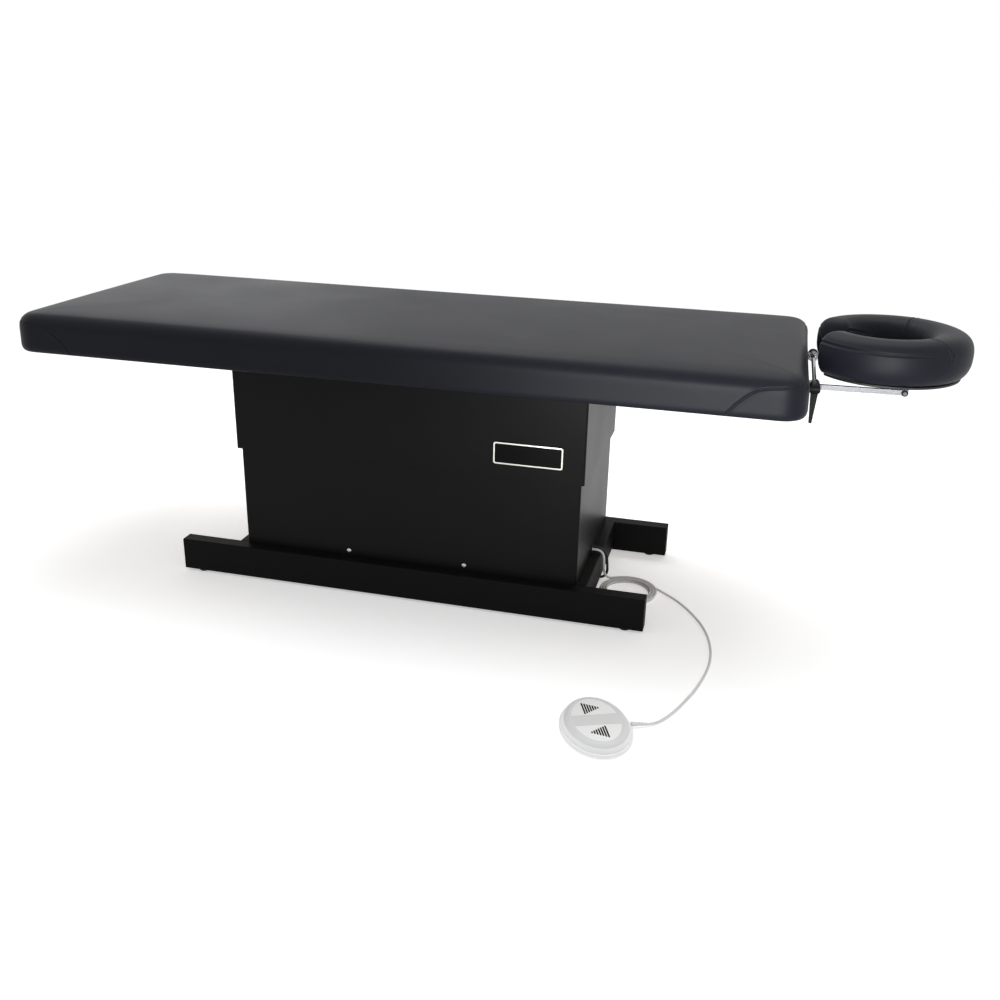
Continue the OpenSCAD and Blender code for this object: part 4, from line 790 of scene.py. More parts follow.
def swell(piece, s):
    # cloth under pressure over the foam, each point held within a small reach of its start
    rest = [v.co.copy() for v in piece.data.vertices]
    held = piece.vertex_groups.new(name="held")
    for i, p in enumerate(rest):
        held.add([i], s["hold"](p), "REPLACE")
    cloth = piece.modifiers.new("cover", "CLOTH")
    cloth.settings.quality = clothSettings["quality"]
    cloth.settings.mass = clothSettings["mass"]
    cloth.settings.tension_stiffness = s["stretch"]
    cloth.settings.compression_stiffness = s["stretch"]
    cloth.settings.bending_stiffness = s["bending"]
    cloth.settings.vertex_group_mass = "held"
    cloth.settings.use_pressure = True
    cloth.settings.uniform_pressure_force = s["pressure"]
    cloth.settings.effector_weights.gravity = 0
    cloth.point_cache.frame_start = 1
    cloth.point_cache.frame_end = s["frames"]
    for step in range(1, s["frames"] + 1):
        scene.frame_set(step)
    graph = bpy.context.evaluated_depsgraph_get()
    puffed = [v.co.copy() for v in piece.evaluated_get(graph).data.vertices]
    piece.modifiers.clear()
    piece.vertex_groups.clear()
    scene.frame_set(1)
    moves = []
    for a, b in zip(rest, puffed):
        move = b - a
        if move.length > s["reach"]:
            move *= s["reach"] / move.length
        moves.append(move)
    beside = [[] for _ in rest]
    for edge in piece.data.edges:
        a, b = edge.vertices
        beside[a].append(b)
        beside[b].append(a)
    even = clothSettings["evenShare"]
    for _ in range(s["evened"]):
        moves = [(1 - even) * move + even * sum((moves[k] for k in near), Vector()) / len(near)
            for move, near in zip(moves, beside)]
    for v, a, move in zip(piece.data.vertices, rest, moves):
        v.co = a + move
    print(piece.name, "simulated")


def subdivided(piece):
    smoother = piece.modifiers.new("smoother", "SUBSURF")
    smoother.levels = 1
    smoother.render_levels = 1
    return applyModifiers(piece)


def surfaceTree(piece):
    return BVHTree.FromObject(piece, bpy.context.evaluated_depsgraph_get())


def onSurface(tree, point, rise=0.0):
    spot, normal, _, _ = tree.find_nearest(Vector(point))
    return spot + normal * rise


def densePath(points, step):
    made = [points[0]]
    for a, b in zip(points, points[1:]):
        count = max(1, round((b - a).length / step))
        made += [a.lerp(b, i / count) for i in range(1, count + 1)]
    return made


def finderOf(lines):
    spots = [p for line in lines for p in line]
    finder = KDTree(len(spots))
    for i, p in enumerate(spots):
        finder.insert(p, i)
    finder.balance()
    return finder


def refineNear(piece, lines, reach, cuts):
    # smaller faces along the seams, so that they keep a crisp section
    finder = finderOf(lines)
    with editing(piece.data) as work:
        close = [e for e in work.edges if finder.find((e.verts[0].co + e.verts[1].co) / 2)[2] < reach]
        bmesh.ops.subdivide_edges(work, edges=close, cuts=cuts, use_grid_fill=True)


def cutGroove(piece, lines, s):
    # the cover pulls in along its seams and stands up a little beside them
    wide, deep, lip = s["grooveWide"], s["grooveDeep"], s["lip"]
    lipAway = seamSettings["lipAway"] * wide
    finder = finderOf(lines)
    normals = [v.normal.copy() for v in piece.data.vertices]
    for v, n in zip(piece.data.vertices, normals):
        _, _, away = finder.find(v.co)
        if away < seamSettings["reach"] * wide:
            raised = lip * math.exp(-((away - lipAway) / wide) ** 2)
            v.co -= n * (deep * math.exp(-(away / wide) ** 2) - raised)


def stitchRow(name, path, s, body):
    # short stitches along a seam
    thread = bpy.data.meshes.new("oneStitch")
    with editing(thread) as work:
        bmesh.ops.create_uvsphere(work, u_segments=s["sides"], v_segments=s["rows"], radius=1)
        bmesh.ops.scale(work, verts=work.verts, vec=(s["thick"], s["thick"], s["long"] / 2))
    template = linkObject("oneStitch", thread)
    row = runTree(pathHost(name, path), nodeTrees["row"],
        {"Spacing": s["spacing"], "Piece": template, "Material": finishes["seamThread"]})
    bpy.data.objects.remove(template)
    row.data.shade_smooth()
    addTrim(row, body, finishes["seamThread"])


def seamThread(name, path, radius, body):
    thread = meshOfCurve(roundWire(name, path, radius, seamSettings["resolution"]), name)
    thread.data.shade_smooth()
    addTrim(thread, body, finishes["seamThread"])


# padded top; each point of a seam is its distance from the end and its height
padSettings = {
    "cornerRadius": 0.055, "cornerLeast": 0.25, "cornerMost": 0.9, "cornerSteps": 6, "edgeRadius": 0.034,
    "edgeSteps": 7, "hemDipShare": 0.2, "hemTopShare": 0.6,
    "underRadius": 0.016, "underSteps": 5, "sideShares": (0.2, 0.4, 0.6, 0.8), "drawIn": 0.0030,
    "endDraw": 0.5, "crown": 0.0042, "crownSteps": 17, "crownFrom": 0.0016, "crownEvened": 24,
    "middleHalf": 0.006, "wrap": 0.0098, "hemReach": 0.024, "hemThick": 0.0009, "hemBend": 0.004,
    "underDeck": 0.010, "deckGap": 0.0003, "innerSteps": 6, "step": 0.018, "swellRoom": -0.0010,
    "seam": [(0.0, 0.0825), (0.010, 0.0812), (0.033, 0.0772), (0.052, 0.0730), (0.077, 0.0690),
        (0.096, 0.0645), (0.110, 0.0580), (0.122, 0.0490), (0.134, 0.0380), (0.148, 0.0240),
        (0.157, 0.0110), (0.161, 0.0040)],
    "seamSteps": 40, "seamRoute": 2, "seamStep": 0.004, "seamFaces": 0.016, "seamCuts": 3,
    "grooveWide": 0.0021, "grooveDeep": 0.0026, "lip": 0.0004, "threadRadius": 0.0008,
    "stitch": {"thick": 0.0004, "long": 0.0034, "spacing": 0.0052, "below": 0.0036, "sides": 8, "rows": 5},
    "heldRise": 0.004, "heldOver": 0.002, "heldSlack": 0.001,
    "sim": {"pressure": 1.6, "stretch": 22, "bending": 1.2, "frames": 18, "reach": 0.0026, "evened": 24},
}


def quarterCorners(halfX, halfY, r):
    # the middles of four rounded corners, each with the angle at which its arc starts
    return [(halfX - r, halfY - r, 0), (r - halfX, halfY - r, 90), (r - halfX, r - halfY, 180),
        (halfX - r, r - halfY, 270)]


def roundedRing(box, inset, z, s, draw=0):
    # one level of the pad's outline, the same number of points at every level
    low, high = box
    halfL, halfW = (high.x - low.x) / 2 - inset, (high.y - low.y) / 2 - inset
    middle = (low + high) / 2
    r = min(max(s["cornerRadius"] - inset, s["cornerRadius"] * s["cornerLeast"]), halfW * s["cornerMost"])
    longSteps = round((high.x - low.x - 2 * s["cornerRadius"]) / s["step"])
    shortSteps = round((high.y - low.y - 2 * s["cornerRadius"]) / s["step"])
    shortSteps += shortSteps % 2
    corners = quarterCorners(halfL, halfW, r)
    ring = []
    for q, (cx, cy, start) in enumerate(corners):
        for i in range(s["cornerSteps"] + 1):
            a = math.radians(start + 90 * i / s["cornerSteps"])
            ring.append(Vector((middle.x + cx + r * math.cos(a), middle.y + cy + r * math.sin(a), z)))
        nx, ny, _ = corners[(q + 1) % 4]
        steps, pulled = (longSteps, 1) if q % 2 == 0 else (shortSteps, s["endDraw"])
        a = math.radians(start + 90)
        first = Vector((middle.x + cx + r * math.cos(a), middle.y + cy + r * math.sin(a), z))
        last = Vector((middle.x + nx + r * math.cos(a), middle.y + ny + r * math.sin(a), z))
        inward = -Vector((math.cos(a), math.sin(a), 0))
        for i in range(1, steps):
            t = i / steps
            ring.append(first.lerp(last, t) + inward * (draw * math.sin(math.pi * t) ** 0.5 * pulled))
    return ring


def closedSlot(ring, first):
    # a ring that is a narrow slot: its two long sides are joined point to point
    total = len(ring)
    middleY = sum(p.y for p in ring) / total
    upper = sorted((k for k in range(total) if ring[k].y > middleY + weldDistance), key=lambda k: -ring[k].x)
    under = [k for k in range(total) if ring[k].y < middleY - weldDistance]

    def apart(k, u):
        return (ring[k].x - ring[u].x) ** 2 + (ring[k].y + ring[u].y - 2 * middleY) ** 2

    lower = [min(under, key=lambda k: apart(k, u)) for u in upper]
    faces = [(first + upper[i], first + upper[i + 1], first + lower[i + 1], first + lower[i])
        for i in range(len(upper) - 1)]
    for k in range(total):
        if abs(ring[k].y - middleY) <= weldDistance:
            faces.append((first + (k - 1) % total, first + k, first + (k + 1) % total))
    return faces


def seamLine(box, s):
    # the end panel's seam: up both sides near each end, then round the end
    low, high = box
    steps = s["seamSteps"]
    lines = []
    for end, endX in ((-1, low.x), (1, high.x)):
        near = [Vector((endX - end * d, low.y, low.z + h)) for d, h in reversed(s["seam"])]
        far = [Vector((p.x, high.y, p.z)) for p in reversed(near)]
        across = [Vector((endX, low.y + (high.y - low.y) * t / steps, low.z + s["seam"][0][1]))
            for t in range(1, steps)]
        lines.append(near + across + far)
    return lines


def padLevels(s, halfW, edgeTop):
    # from the hem up over the side to the middle: inset, height and share of the draw
    room, wrap, under, roll = s["swellRoom"], s["wrap"], s["underRadius"], s["edgeRadius"]
    levels = [(s["hemReach"], -s["hemThick"] * s["hemDipShare"], 0)]
    levels.append((wrap + s["hemBend"], -s["hemThick"], 0))
    for i in range(s["underSteps"] + 1):
        t = i / s["underSteps"]
        a = math.radians(90 * i / s["underSteps"])
        levels.append((wrap * (1 - math.sin(a)) + room * t, under * (1 - math.cos(a)), t))
    levels += [(room, under + (edgeTop - roll - under) * t, 1) for t in s["sideShares"]]
    for i in range(s["edgeSteps"] + 1):
        a = math.radians(90 * i / s["edgeSteps"])
        inset, z = roll * (1 - math.cos(a)) + room, edgeTop - roll * (1 - math.sin(a))
        levels.append((inset, z, 1 - i / s["edgeSteps"]))
    reach = halfW - roll - room - s["middleHalf"]
    for i in range(1, s["crownSteps"] + 1):
        t = i / s["crownSteps"]
        levels.append((roll + room + reach * t, edgeTop + s["crown"] * (1 - (1 - t) ** 2) - room, 0))
    return levels


def makePad(s):
    box = low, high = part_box("table_pad")
    edgeTop = high.z - low.z - s["crown"]
    halfW = (high.y - low.y) / 2
    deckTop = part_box("deck_board")[1].z
    hemTop = low.z + s["hemThick"] * s["hemTopShare"]
    rings = [roundedRing(box, s["hemReach"], hemTop, s)]
    rings += [roundedRing(box, inset, low.z + z, s, s["drawIn"] * share)
        for inset, z, share in padLevels(s, halfW, edgeTop)]
    total = len(rings[0])
    faces = []
    for i in range(len(rings) - 1):
        faces += bandFaces(i * total, (i + 1) * total, total)
    faces += closedSlot(rings[-1], (len(rings) - 1) * total)
    # the sheet's inner side, over the deck, closes the form
    overDeck = deckTop + s["deckGap"]
    heights = (hemTop, low.z + s["underDeck"], overDeck)
    inner = [roundedRing(box, s["wrap"] + s["deckGap"], z, s) for z in heights]
    for i in range(1, s["innerSteps"] + 1):
        inset = s["wrap"] + (halfW - s["wrap"] - s["middleHalf"]) * i / s["innerSteps"]
        inner.append(roundedRing(box, inset, overDeck, s))
    order = [0] + [len(rings) + j for j in range(len(inner))]
    for a, b in zip(order, order[1:]):
        faces += [(f[1], f[0], f[3], f[2]) for f in bandFaces(a * total, b * total, total)]
    faces += closedSlot(inner[-1], order[-1] * total)
    pad = meshFrom("tablePad", [p for ring in rings + inner for p in ring], faces)
    cleanNormals(pad)
    # the crown's four slopes flow into one another
    with editing(pad.data) as work:
        crown = [v for v in work.verts if v.co.z > low.z + edgeTop + s["crownFrom"]]
        for _ in range(s["crownEvened"]):
            bmesh.ops.smooth_vert(work, verts=crown, factor=0.5, use_axis_z=True)

    def hold(p):
        # the hem and what lies on the deck stay where they are
        fromSide = min(p.x - low.x, high.x - p.x, p.y - low.y, high.y - p.y)
        onDeck = p.z <= deckTop + s["heldOver"] and fromSide > s["wrap"] - s["heldSlack"]
        return 1.0 if p.z < low.z + s["heldRise"] or onDeck else 0.0

    swell(pad, {**s["sim"], "hold": hold})
    subdivided(pad)
    tree = surfaceTree(pad)
    seated = [[onSurface(tree, p) for p in densePath(smoothRoute(line, s["seamRoute"]), s["seamStep"])]
        for line in seamLine(box, s)]
    refineNear(pad, seated, s["seamFaces"], s["seamCuts"])
    cutGroove(pad, seated, s)
    finishPiece(pad, "top", "vinyl", ("table_pad",), angle=60)
    tree = surfaceTree(pad)
    below = Vector((0, 0, -s["stitch"]["below"]))
    for mark, line in zip("AB", seated):
        thread = [onSurface(tree, p, -skinGap) for p in line]
        seamThread("padSeam" + mark, thread, s["threadRadius"], "top")
        stitches = [onSurface(tree, p + below, skinGap) for p in line]
        stitchRow("padStitches" + mark, stitches, s["stitch"], "top")


makePad(padSettings)
print("padded top made", sinceStart(), "s")

# face cushion; angles run round the crescent and turns run round its section
cushionSettings = {
    "ringX": 0.131, "ringY": 0.136, "tipAngle": 147, "tipHalf": 0.043, "bendHalf": 0.050, "taper": 1.5,
    "power": 0.78, "lowPower": 0.80, "lowFull": 1.10, "overShare": 0.66, "overBlend": 0.06,
    "overHang": 0.0045, "flatShare": 0.86, "stations": 132, "sides": 44, "tipSteps": 9, "tipRound": 0.72,
    "tipLeast": 0.004, "room": 0.0012, "heldRise": 0.0006, "heldShare": 0.5,
    "creaseDeep": 0.0013, "creaseCount": 17, "creaseFrom": (100, 160), "creaseTo": (215, 250),
    "creaseFade": (70, 120), "creaseWander": 2.2, "wanderScale": 16, "unevenScale": 30, "evenShare": 0.4,
    "curlSteps": 6, "curlBack": 8, "curlTurn": 4,
    "seamTurn": 27, "seamSteps": 80, "nearCross": 46, "farCross": 58, "crossBow": 5,
    "crossTurns": range(12, 206, 6), "seamLeast": 0.001, "seamStep": 0.002, "seamFaces": 0.010, "seamCuts": 2,
    "sim": {"pressure": 3.5, "stretch": 16, "bending": 0.6, "frames": 20, "reach": 0.0035, "evened": 5},
    "grooveWide": 0.0024, "grooveDeep": 0.0018, "lip": 0.0006, "threadRadius": 0.0007,
}


def cushionFrame(s):
    low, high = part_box("face_cushion")
    half = (high.z - low.z) / (1 + s["flatShare"])
    x, y = high.x - s["ringX"] - s["bendHalf"], (low.y + high.y) / 2
    return low.z, half, Vector((x, y, low.z + half * s["flatShare"]))


def cushionPoint(s, frameOf, angle, turn, tip=0.0):
    # a point of the roll; tip goes from 0 to 1 past its end
    floorZ, half, middle = frameOf
    a = math.radians(angle)
    spot = middle + Vector((s["ringX"] * math.cos(a), s["ringY"] * math.sin(a), 0))
    side = Vector((s["ringY"] * math.cos(a), s["ringX"] * math.sin(a), 0)).normalized()
    way = Vector((-s["ringX"] * math.sin(a), s["ringY"] * math.cos(a), 0)).normalized()
    if angle <= 0:
        way = -way
    share = min(1, abs(angle) / s["tipAngle"] * s["taper"])
    wide = s["bendHalf"] + (s["tipHalf"] - s["bendHalf"]) * share - s["room"]
    tall = half - s["room"]
    bulge = math.sin(math.radians(90 * tip))
    shrink = math.sqrt(max(s["tipLeast"], 1 - bulge * bulge))
    c, n = math.cos(math.radians(turn)), math.sin(math.radians(turn))
    power = s["power"] if n > 0 else s["lowPower"]
    x = wide * shrink * math.copysign(abs(c) ** power, c)
    z = tall * shrink * math.copysign(abs(n) ** power, n)
    if n < 0:
        z *= s["lowFull"]
    lift = -half * (1 - shrink) * (1 - s["flatShare"])
    p = spot + way * s["tipRound"] * s["tipHalf"] * bulge + side * x + Vector((0, 0, z + lift))
    # the roll hangs a little over the edge of its platform
    over = smoothStep(s["overShare"], s["overShare"] + s["overBlend"], max(abs(x) / wide, tip))
    p.z = max(p.z, floorZ - s["overHang"] * over)
    return p


def foldIn(s, middle, angle, ring):
    # the foam gathers at the inner side of the bend, in small folds
    for k, p in enumerate(ring):
        turn = 360 * k / s["sides"]
        inside = smoothStep(*s["creaseFrom"], turn) * (1 - smoothStep(*s["creaseTo"], turn))
        wander = s["creaseWander"] * noise.noise(p * s["wanderScale"])
        wave = math.sin(math.radians(angle) * s["creaseCount"] + wander)
        bumpy = abs(noise.noise(p * s["unevenScale"] + Vector((3, 1, 7))))
        uneven = s["evenShare"] + (1 - s["evenShare"]) * bumpy
        fade = (1 - smoothStep(*s["creaseFade"], abs(angle))) * uneven
        away = p - middle
        away.z = 0
        p += away.normalized() * s["creaseDeep"] * inside * fade * max(0, wave) ** 2


def cushionSeams(s, frameOf, tree):
    # each limb's seam runs round its outer side and tip, and meets the cross seam at the bend
    lines = []
    for side, cross in ((-1, s["nearCross"]), (1, s["farCross"])):
        end, turn, tips, steps = side * s["tipAngle"], s["seamTurn"], s["tipSteps"], s["seamSteps"]
        limb = [(side * (cross + (s["tipAngle"] - cross) * i / steps), turn, 0) for i in range(steps + 1)]
        limb += [(end, turn, k / tips) for k in range(1, tips + 1)]
        limb += [(end, 180 - turn, k / tips) for k in range(tips, 0, -1)]
        limb += [(side * (s["tipAngle"] - s["curlBack"] * i), 180 - turn + s["curlTurn"] * i, 0)
            for i in range(s["curlSteps"])]
        over = [(side * (cross + s["crossBow"] * math.sin(math.radians(t))), t, 0) for t in s["crossTurns"]]
        for rows in (limb, over):
            spots = [onSurface(tree, cushionPoint(s, frameOf, *row)) for row in rows]
            lines.append(densePath(spaced(spots, s["seamLeast"]), s["seamStep"]))
    return lines


def makeCushion(s):
    frameOf = floorZ, _, middle = cushionFrame(s)
    tips = range(1, s["tipSteps"] + 1)
    rows = [(-s["tipAngle"], k / s["tipSteps"]) for k in reversed(tips)]
    rows += [(s["tipAngle"] * (2 * i / s["stations"] - 1), 0) for i in range(s["stations"] + 1)]
    rows += [(s["tipAngle"], k / s["tipSteps"]) for k in tips]
    rings = [[cushionPoint(s, frameOf, angle, 360 * k / s["sides"], tip) for k in range(s["sides"])]
        for angle, tip in rows]
    for (angle, _), ring in zip(rows, rings):
        foldIn(s, middle, angle, ring)
    cushion = ringSkin("faceCushion", rings)

    def hold(p):
        # the middle of the roll's underside lies on the platform
        away = p - middle
        fromRing = abs(math.hypot(away.x / s["ringX"], away.y / s["ringY"]) - 1) * s["ringX"]
        return 1.0 if p.z < floorZ + s["heldRise"] and fromRing < s["heldShare"] * s["tipHalf"] else 0.0

    swell(cushion, {**s["sim"], "hold": hold})
    for v in cushion.data.vertices:
        v.co.z = max(v.co.z, floorZ - s["overHang"])
    subdivided(cushion)
    lines = cushionSeams(s, frameOf, surfaceTree(cushion))
    refineNear(cushion, lines, s["seamFaces"], s["seamCuts"])
    cutGroove(cushion, lines, s)
    finishPiece(cushion, "face_platform", "vinyl", ("face_cushion",), angle=70)
    tree = surfaceTree(cushion)
    for mark, line in zip("ABCD", lines):
        thread = [onSurface(tree, p, -skinGap) for p in line]
        seamThread("cushionSeam" + mark, thread, s["threadRadius"], "face_platform")


makeCushion(cushionSettings)
print("face cushion made", sinceStart(), "s")

# foot switch; the rows of its tray and dome are inset and height
pedalSettings = {
    "halfAlong": 0.073, "halfAcross": 0.100, "steps": 96,
    "tray": [(0.0065, 0.0020), (0.0022, 0.0022), (0.0006, 0.0034), (0.0, 0.0052), (0.0002, 0.0072),
        (0.0011, 0.0088), (0.0026, 0.0097), (0.0046, 0.0100), (0.0056, 0.0094)],
    "dome": [(0.0052, 0.0088), (0.0050, 0.0100), (0.0053, 0.0125), (0.0062, 0.0152), (0.0078, 0.0184),
        (0.0091, 0.0201), (0.0102, 0.0214), (0.0130, 0.0238), (0.0156, 0.0254), (0.0178, 0.0264),
        (0.0196, 0.0269)],
    "paintedLitFlankRows": 6, "wall": 0.002, "topInset": 0.0192, "topHeight": 0.0270, "topThick": 0.0022,
    "treadAlong": 0.050, "treadAcross": 0.078, "treadSteps": 40, "barWidth": 0.032, "treadGap": 0.0007,
    "treadTop": 0.0258, "treadThick": 0.0056, "edgeRound": 0.0009, "roundSteps": 3,
    "stripes": {"Count": 7, "Pitch": 0.0050, "Bar": 0.0034, "Reach": 0.040, "Rise": 0.00024},
    "fanAcross": 0.0425, "farFanStart": -0.0175, "nearFanStart": 0.0115,
}


def toSwitch(p):
    # from the switch's own plane to its place on the floor
    c, n = math.cos(switchAngle), math.sin(switchAngle)
    return Vector((switchCentre.x + p[0] * c - p[1] * n, switchCentre.y + p[0] * n + p[1] * c, p[2]))


def ovalOutline(s, inset):
    return [((s["halfAlong"] - inset) * c, (s["halfAcross"] - inset) * n) for c, n in circle(s["steps"])]


def ovalRing(s, inset, z):
    return [toSwitch((x, y, z)) for x, y in ovalOutline(s, inset)]


def halfMoon(s, side, grow):
    # outline of one tread's opening, in the switch's own plane
    halfU, halfV = s["treadAlong"] + grow, s["treadAcross"] + grow
    start = math.asin((s["barWidth"] / 2 - grow) / halfV)
    arc = []
    for i in range(s["treadSteps"] + 1):
        a = start + (math.pi - 2 * start) * i / s["treadSteps"]
        arc.append((halfU * math.cos(a), side * halfV * math.sin(a)))
    return arc if side > 0 else arc[::-1]


def switchPlate(name, outlines, top, thick, s):
    return filledPlate(name, outlines, thick, s["edgeRound"], s["roundSteps"],
        lambda p: toSwitch((p.x, p.y, p.z + top - thick / 2)))


def makeTread(s, side, body, fanStart):
    outline = halfMoon(s, side, -s["treadGap"] - s["edgeRound"])
    tread = switchPlate(body + "Cap", [outline], s["treadTop"], s["treadThick"], s)
    finishPiece(tread, body, "switch_white", (body,), angle=50)
    host = pathHost(body + "Mark", [(0, 0, 0), (0, 0, 0.001)])
    mark = runTree(host, nodeTrees["fan"], {**s["stripes"], "Material": finishes["printInk"]})
    for v in mark.data.vertices:
        v.co = toSwitch((fanStart + side * v.co.x, side * s["fanAcross"] + v.co.y, s["treadTop"] + v.co.z))
    cleanNormals(mark)
    addTrim(mark, body, finishes["printInk"])


def makeFootSwitch(s):
    tray = ringSkin("switchTray", [ovalRing(s, inset, z) for inset, z in s["tray"]])
    finishPiece(tray, "base", "switch_white", ("switch_base",), angle=50)
    outlines = [ovalOutline(s, s["topInset"])]
    outlines += [halfMoon(s, side, -s["edgeRound"])[::-1] for side in (1, -1)]
    top = switchPlate("switchTop", outlines, s["topHeight"], s["topThick"], s)
    # the dome's lower flank takes the white finish, a painted highlight for its lit lower wall, and the crown
    # of the dome is grey
    rows = [ovalRing(s, inset, z) for inset, z in s["dome"]]
    skirts = []
    for name, part in (("switchFlank", rows[:s["paintedLitFlankRows"]]), ("switchCrown", rows[s["paintedLitFlankRows"] - 1:])):
        skirt = ringSkin(name, part, closed=False)
        wall = skirt.modifiers.new("wall", "SOLIDIFY")
        wall.thickness = s["wall"]
        wall.offset = -1
        skirts.append(applyModifiers(skirt))
    paintedLitFlank, crown = skirts
    # painted highlight: the grey dome's lower wall is finished white so that it reads as lit
    finishPiece(paintedLitFlank, "base", "switch_white", angle=50)
    finishPiece(joined("switchDome", [top, crown]), "base", "switch_grey", ("switch_cover",), angle=50)
    makeTread(s, 1, "up_tread", s["farFanStart"])
    makeTread(s, -1, "down_tread", s["nearFanStart"])


makeFootSwitch(pedalSettings)
print("foot switch made", sinceStart(), "s")

# bare plate on the upper cover
plateSettings = {"thick": 0.0015, "cornerRadius": 0.006, "cornerSteps": 8, "rimInset": 0.0016,
    "rimWide": 0.0030, "rimRise": 0.0005, "rimRound": 0.00015, "edgeRound": 0.0004, "roundSteps": 2}


def makeNamePlate(s):
    low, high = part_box("name_plate")
    middle = (low + high) / 2
    halfL, halfH = (high.x - low.x) / 2, (high.z - low.z) / 2

    def outline(inset, r):
        made = []
        for cx, cz, start in quarterCorners(halfL - inset, halfH - inset, r):
            for i in range(s["cornerSteps"] + 1):
                a = math.radians(start + 90 * i / s["cornerSteps"])
                made.append((cx + r * math.cos(a), cz + r * math.sin(a)))
        return made

    def upright(name, outlines, depth, thick, rounding):
        return filledPlate(name, outlines, thick, rounding, s["roundSteps"],
            lambda p: Vector((middle.x + p.x, depth - p.z, middle.z + p.y)))

    face = [outline(s["edgeRound"], s["cornerRadius"])]
    plate = upright("barePlate", face, high.y - s["thick"] / 2, s["thick"], s["edgeRound"])
    finishPiece(plate, "top", "plate_black", ("name_plate",))
    a, b = s["rimInset"], s["rimInset"] + s["rimWide"]
    edges = [outline(a, s["cornerRadius"] - a / 2), outline(b, s["cornerRadius"] - b / 2)[::-1]]
    rim = upright("plateBorder", edges, low.y - s["rimRise"] / 2 + skinGap, s["rimRise"], s["rimRound"])
    smoothShade(rim)
    addTrim(rim, "top", finishes["plateRim"])


makeNamePlate(plateSettings)
print("plate made", sinceStart(), "s")

# small fasteners and trim; a screw's profile is shares of its head's radius and rise
screwSettings = {"headRadius": 0.0064, "headRise": 0.0034, "slotWide": 0.0013, "slotLong": 0.0070,
    "slotDeep": 0.0013, "steps": 32, "brim": 0.0008, "profileShares": ((0.94, 0.55), (0.74, 0.85), (0.5, 1))}
stapleSettings = {"long": 0.010, "thick": 0.0009, "wideShare": 1.2, "edgeShare": 0.25, "spacing": 0.034,
    "inset": 0.017}


def crossHeadScrew(s):
    # a pan head with a cross recess, standing on z = 0
    radius, rise = s["headRadius"], s["headRise"]
    profile = [(radius, 0.0), (radius, s["brim"])] + [(radius * r, rise * z) for r, z in s["profileShares"]]
    mesh = bpy.data.meshes.new("screwHead")
    with editing(mesh) as work:
        rings = [[work.verts.new((r * c, r * n, z)) for c, n in circle(s["steps"])] for r, z in profile]
        for a, b in zip(rings, rings[1:]):
            for k in range(s["steps"]):
                n = (k + 1) % s["steps"]
                work.faces.new((a[k], a[n], b[n], b[k]))
        work.faces.new(rings[-1])
        work.faces.new(rings[0][::-1])
    head = linkObject("screwHead", mesh)
    for turn in (0, 90):
        recess = bpy.data.meshes.new("recess")
        with editing(recess) as work:
            bmesh.ops.create_cube(work, size=1)
            bmesh.ops.scale(work, verts=work.verts, vec=(s["slotLong"], s["slotWide"], 2 * s["slotDeep"]))
            bmesh.ops.rotate(work, verts=work.verts, matrix=Matrix.Rotation(math.radians(turn), 3, "Z"))
            bmesh.ops.translate(work, verts=work.verts, vec=(0, 0, rise))
        tool = linkObject("recess", recess)
        cut = head.modifiers.new("recess", "BOOLEAN")
        cut.operation = "DIFFERENCE"
        cut.object = tool
        applyModifiers(head)
        bpy.data.objects.remove(tool)
    return head


def makeScrews(s):
    low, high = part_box("cover_screws")
    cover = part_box("lower_cover")
    half = (high.x - low.x) / 2 - s["headRadius"] - skinGap
    mesh = bpy.data.meshes.new("coverScrewHeads")
    mesh.from_pydata([(x * half, side.y, (low.z + high.z) / 2) for x in (-1, 1) for side in cover], [], [])
    aims = mesh.attributes.new("aim", "FLOAT_VECTOR", "POINT")
    for spot, aim in zip(mesh.vertices, aims.data):
        aim.vector = (0, math.copysign(1, spot.co.y), 0)
    template = crossHeadScrew(s)
    screws = runTree(linkObject("coverScrewHeads", mesh), nodeTrees["place"],
        {"Piece": template, "Material": finishes["screw_steel"]})
    bpy.data.objects.remove(template)
    finishPiece(screws, "base", "screw_steel", ("cover_screws",), angle=40)


def makeStaples(s):
    # staples that hold the cover's hem under the deck
    box = low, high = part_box("table_pad")
    mesh = bpy.data.meshes.new("oneStaple")
    with editing(mesh) as work:
        bmesh.ops.create_cube(work, size=1)
        bmesh.ops.scale(work, verts=work.verts, vec=(s["thick"], s["thick"] * s["wideShare"], s["long"]))
        bmesh.ops.bevel(work, geom=work.edges[:], offset=s["thick"] * s["edgeShare"], segments=1,
            affect="EDGES")
    template = linkObject("oneStaple", mesh)
    ring = roundedRing(box, s["inset"], low.z - padSettings["hemThick"], padSettings)
    row = runTree(pathHost("hemStaples", ring + [ring[0]]), nodeTrees["row"],
        {"Spacing": s["spacing"], "Piece": template, "Material": finishes["screw_steel"]})
    bpy.data.objects.remove(template)
    finishPiece(row, "top", "screw_steel")


makeScrews(screwSettings)
makeStaples(stapleSettings)
print("fasteners made", sinceStart(), "s")

# blades and ground pin of the mains plug
plugSettings = {"gauge": 0.0127, "bladeWide": 0.0066, "bladeThick": 0.0017, "bladeBack": 0.0019,
    "groundRadius": 0.0025, "groundDrop": 0.008, "groundSides": 24, "pinLong": 0.020, "point": 0.0009,
    "pointShare": 0.55}


def pinAlongY(s, middleX, middleZ, halfX, halfZ, start, count):
    # a pin with an eased point; four corners make a blade and more make a round pin
    rings = []
    for y, share in ((start, s["pointShare"]), (start + s["point"], 1), (start + s["pinLong"], 1)):
        ring = []
        for k in range(count):
            a = math.tau * (k + 0.5) / count
            x, z = math.cos(a), math.sin(a)
            if count == 4:
                x, z = math.copysign(1, x), math.copysign(1, z)
            ring.append(Vector((middleX + halfX * x * share, y, middleZ + halfZ * z * share)))
        rings.append(ring)
    return ringSkin("pin", rings)


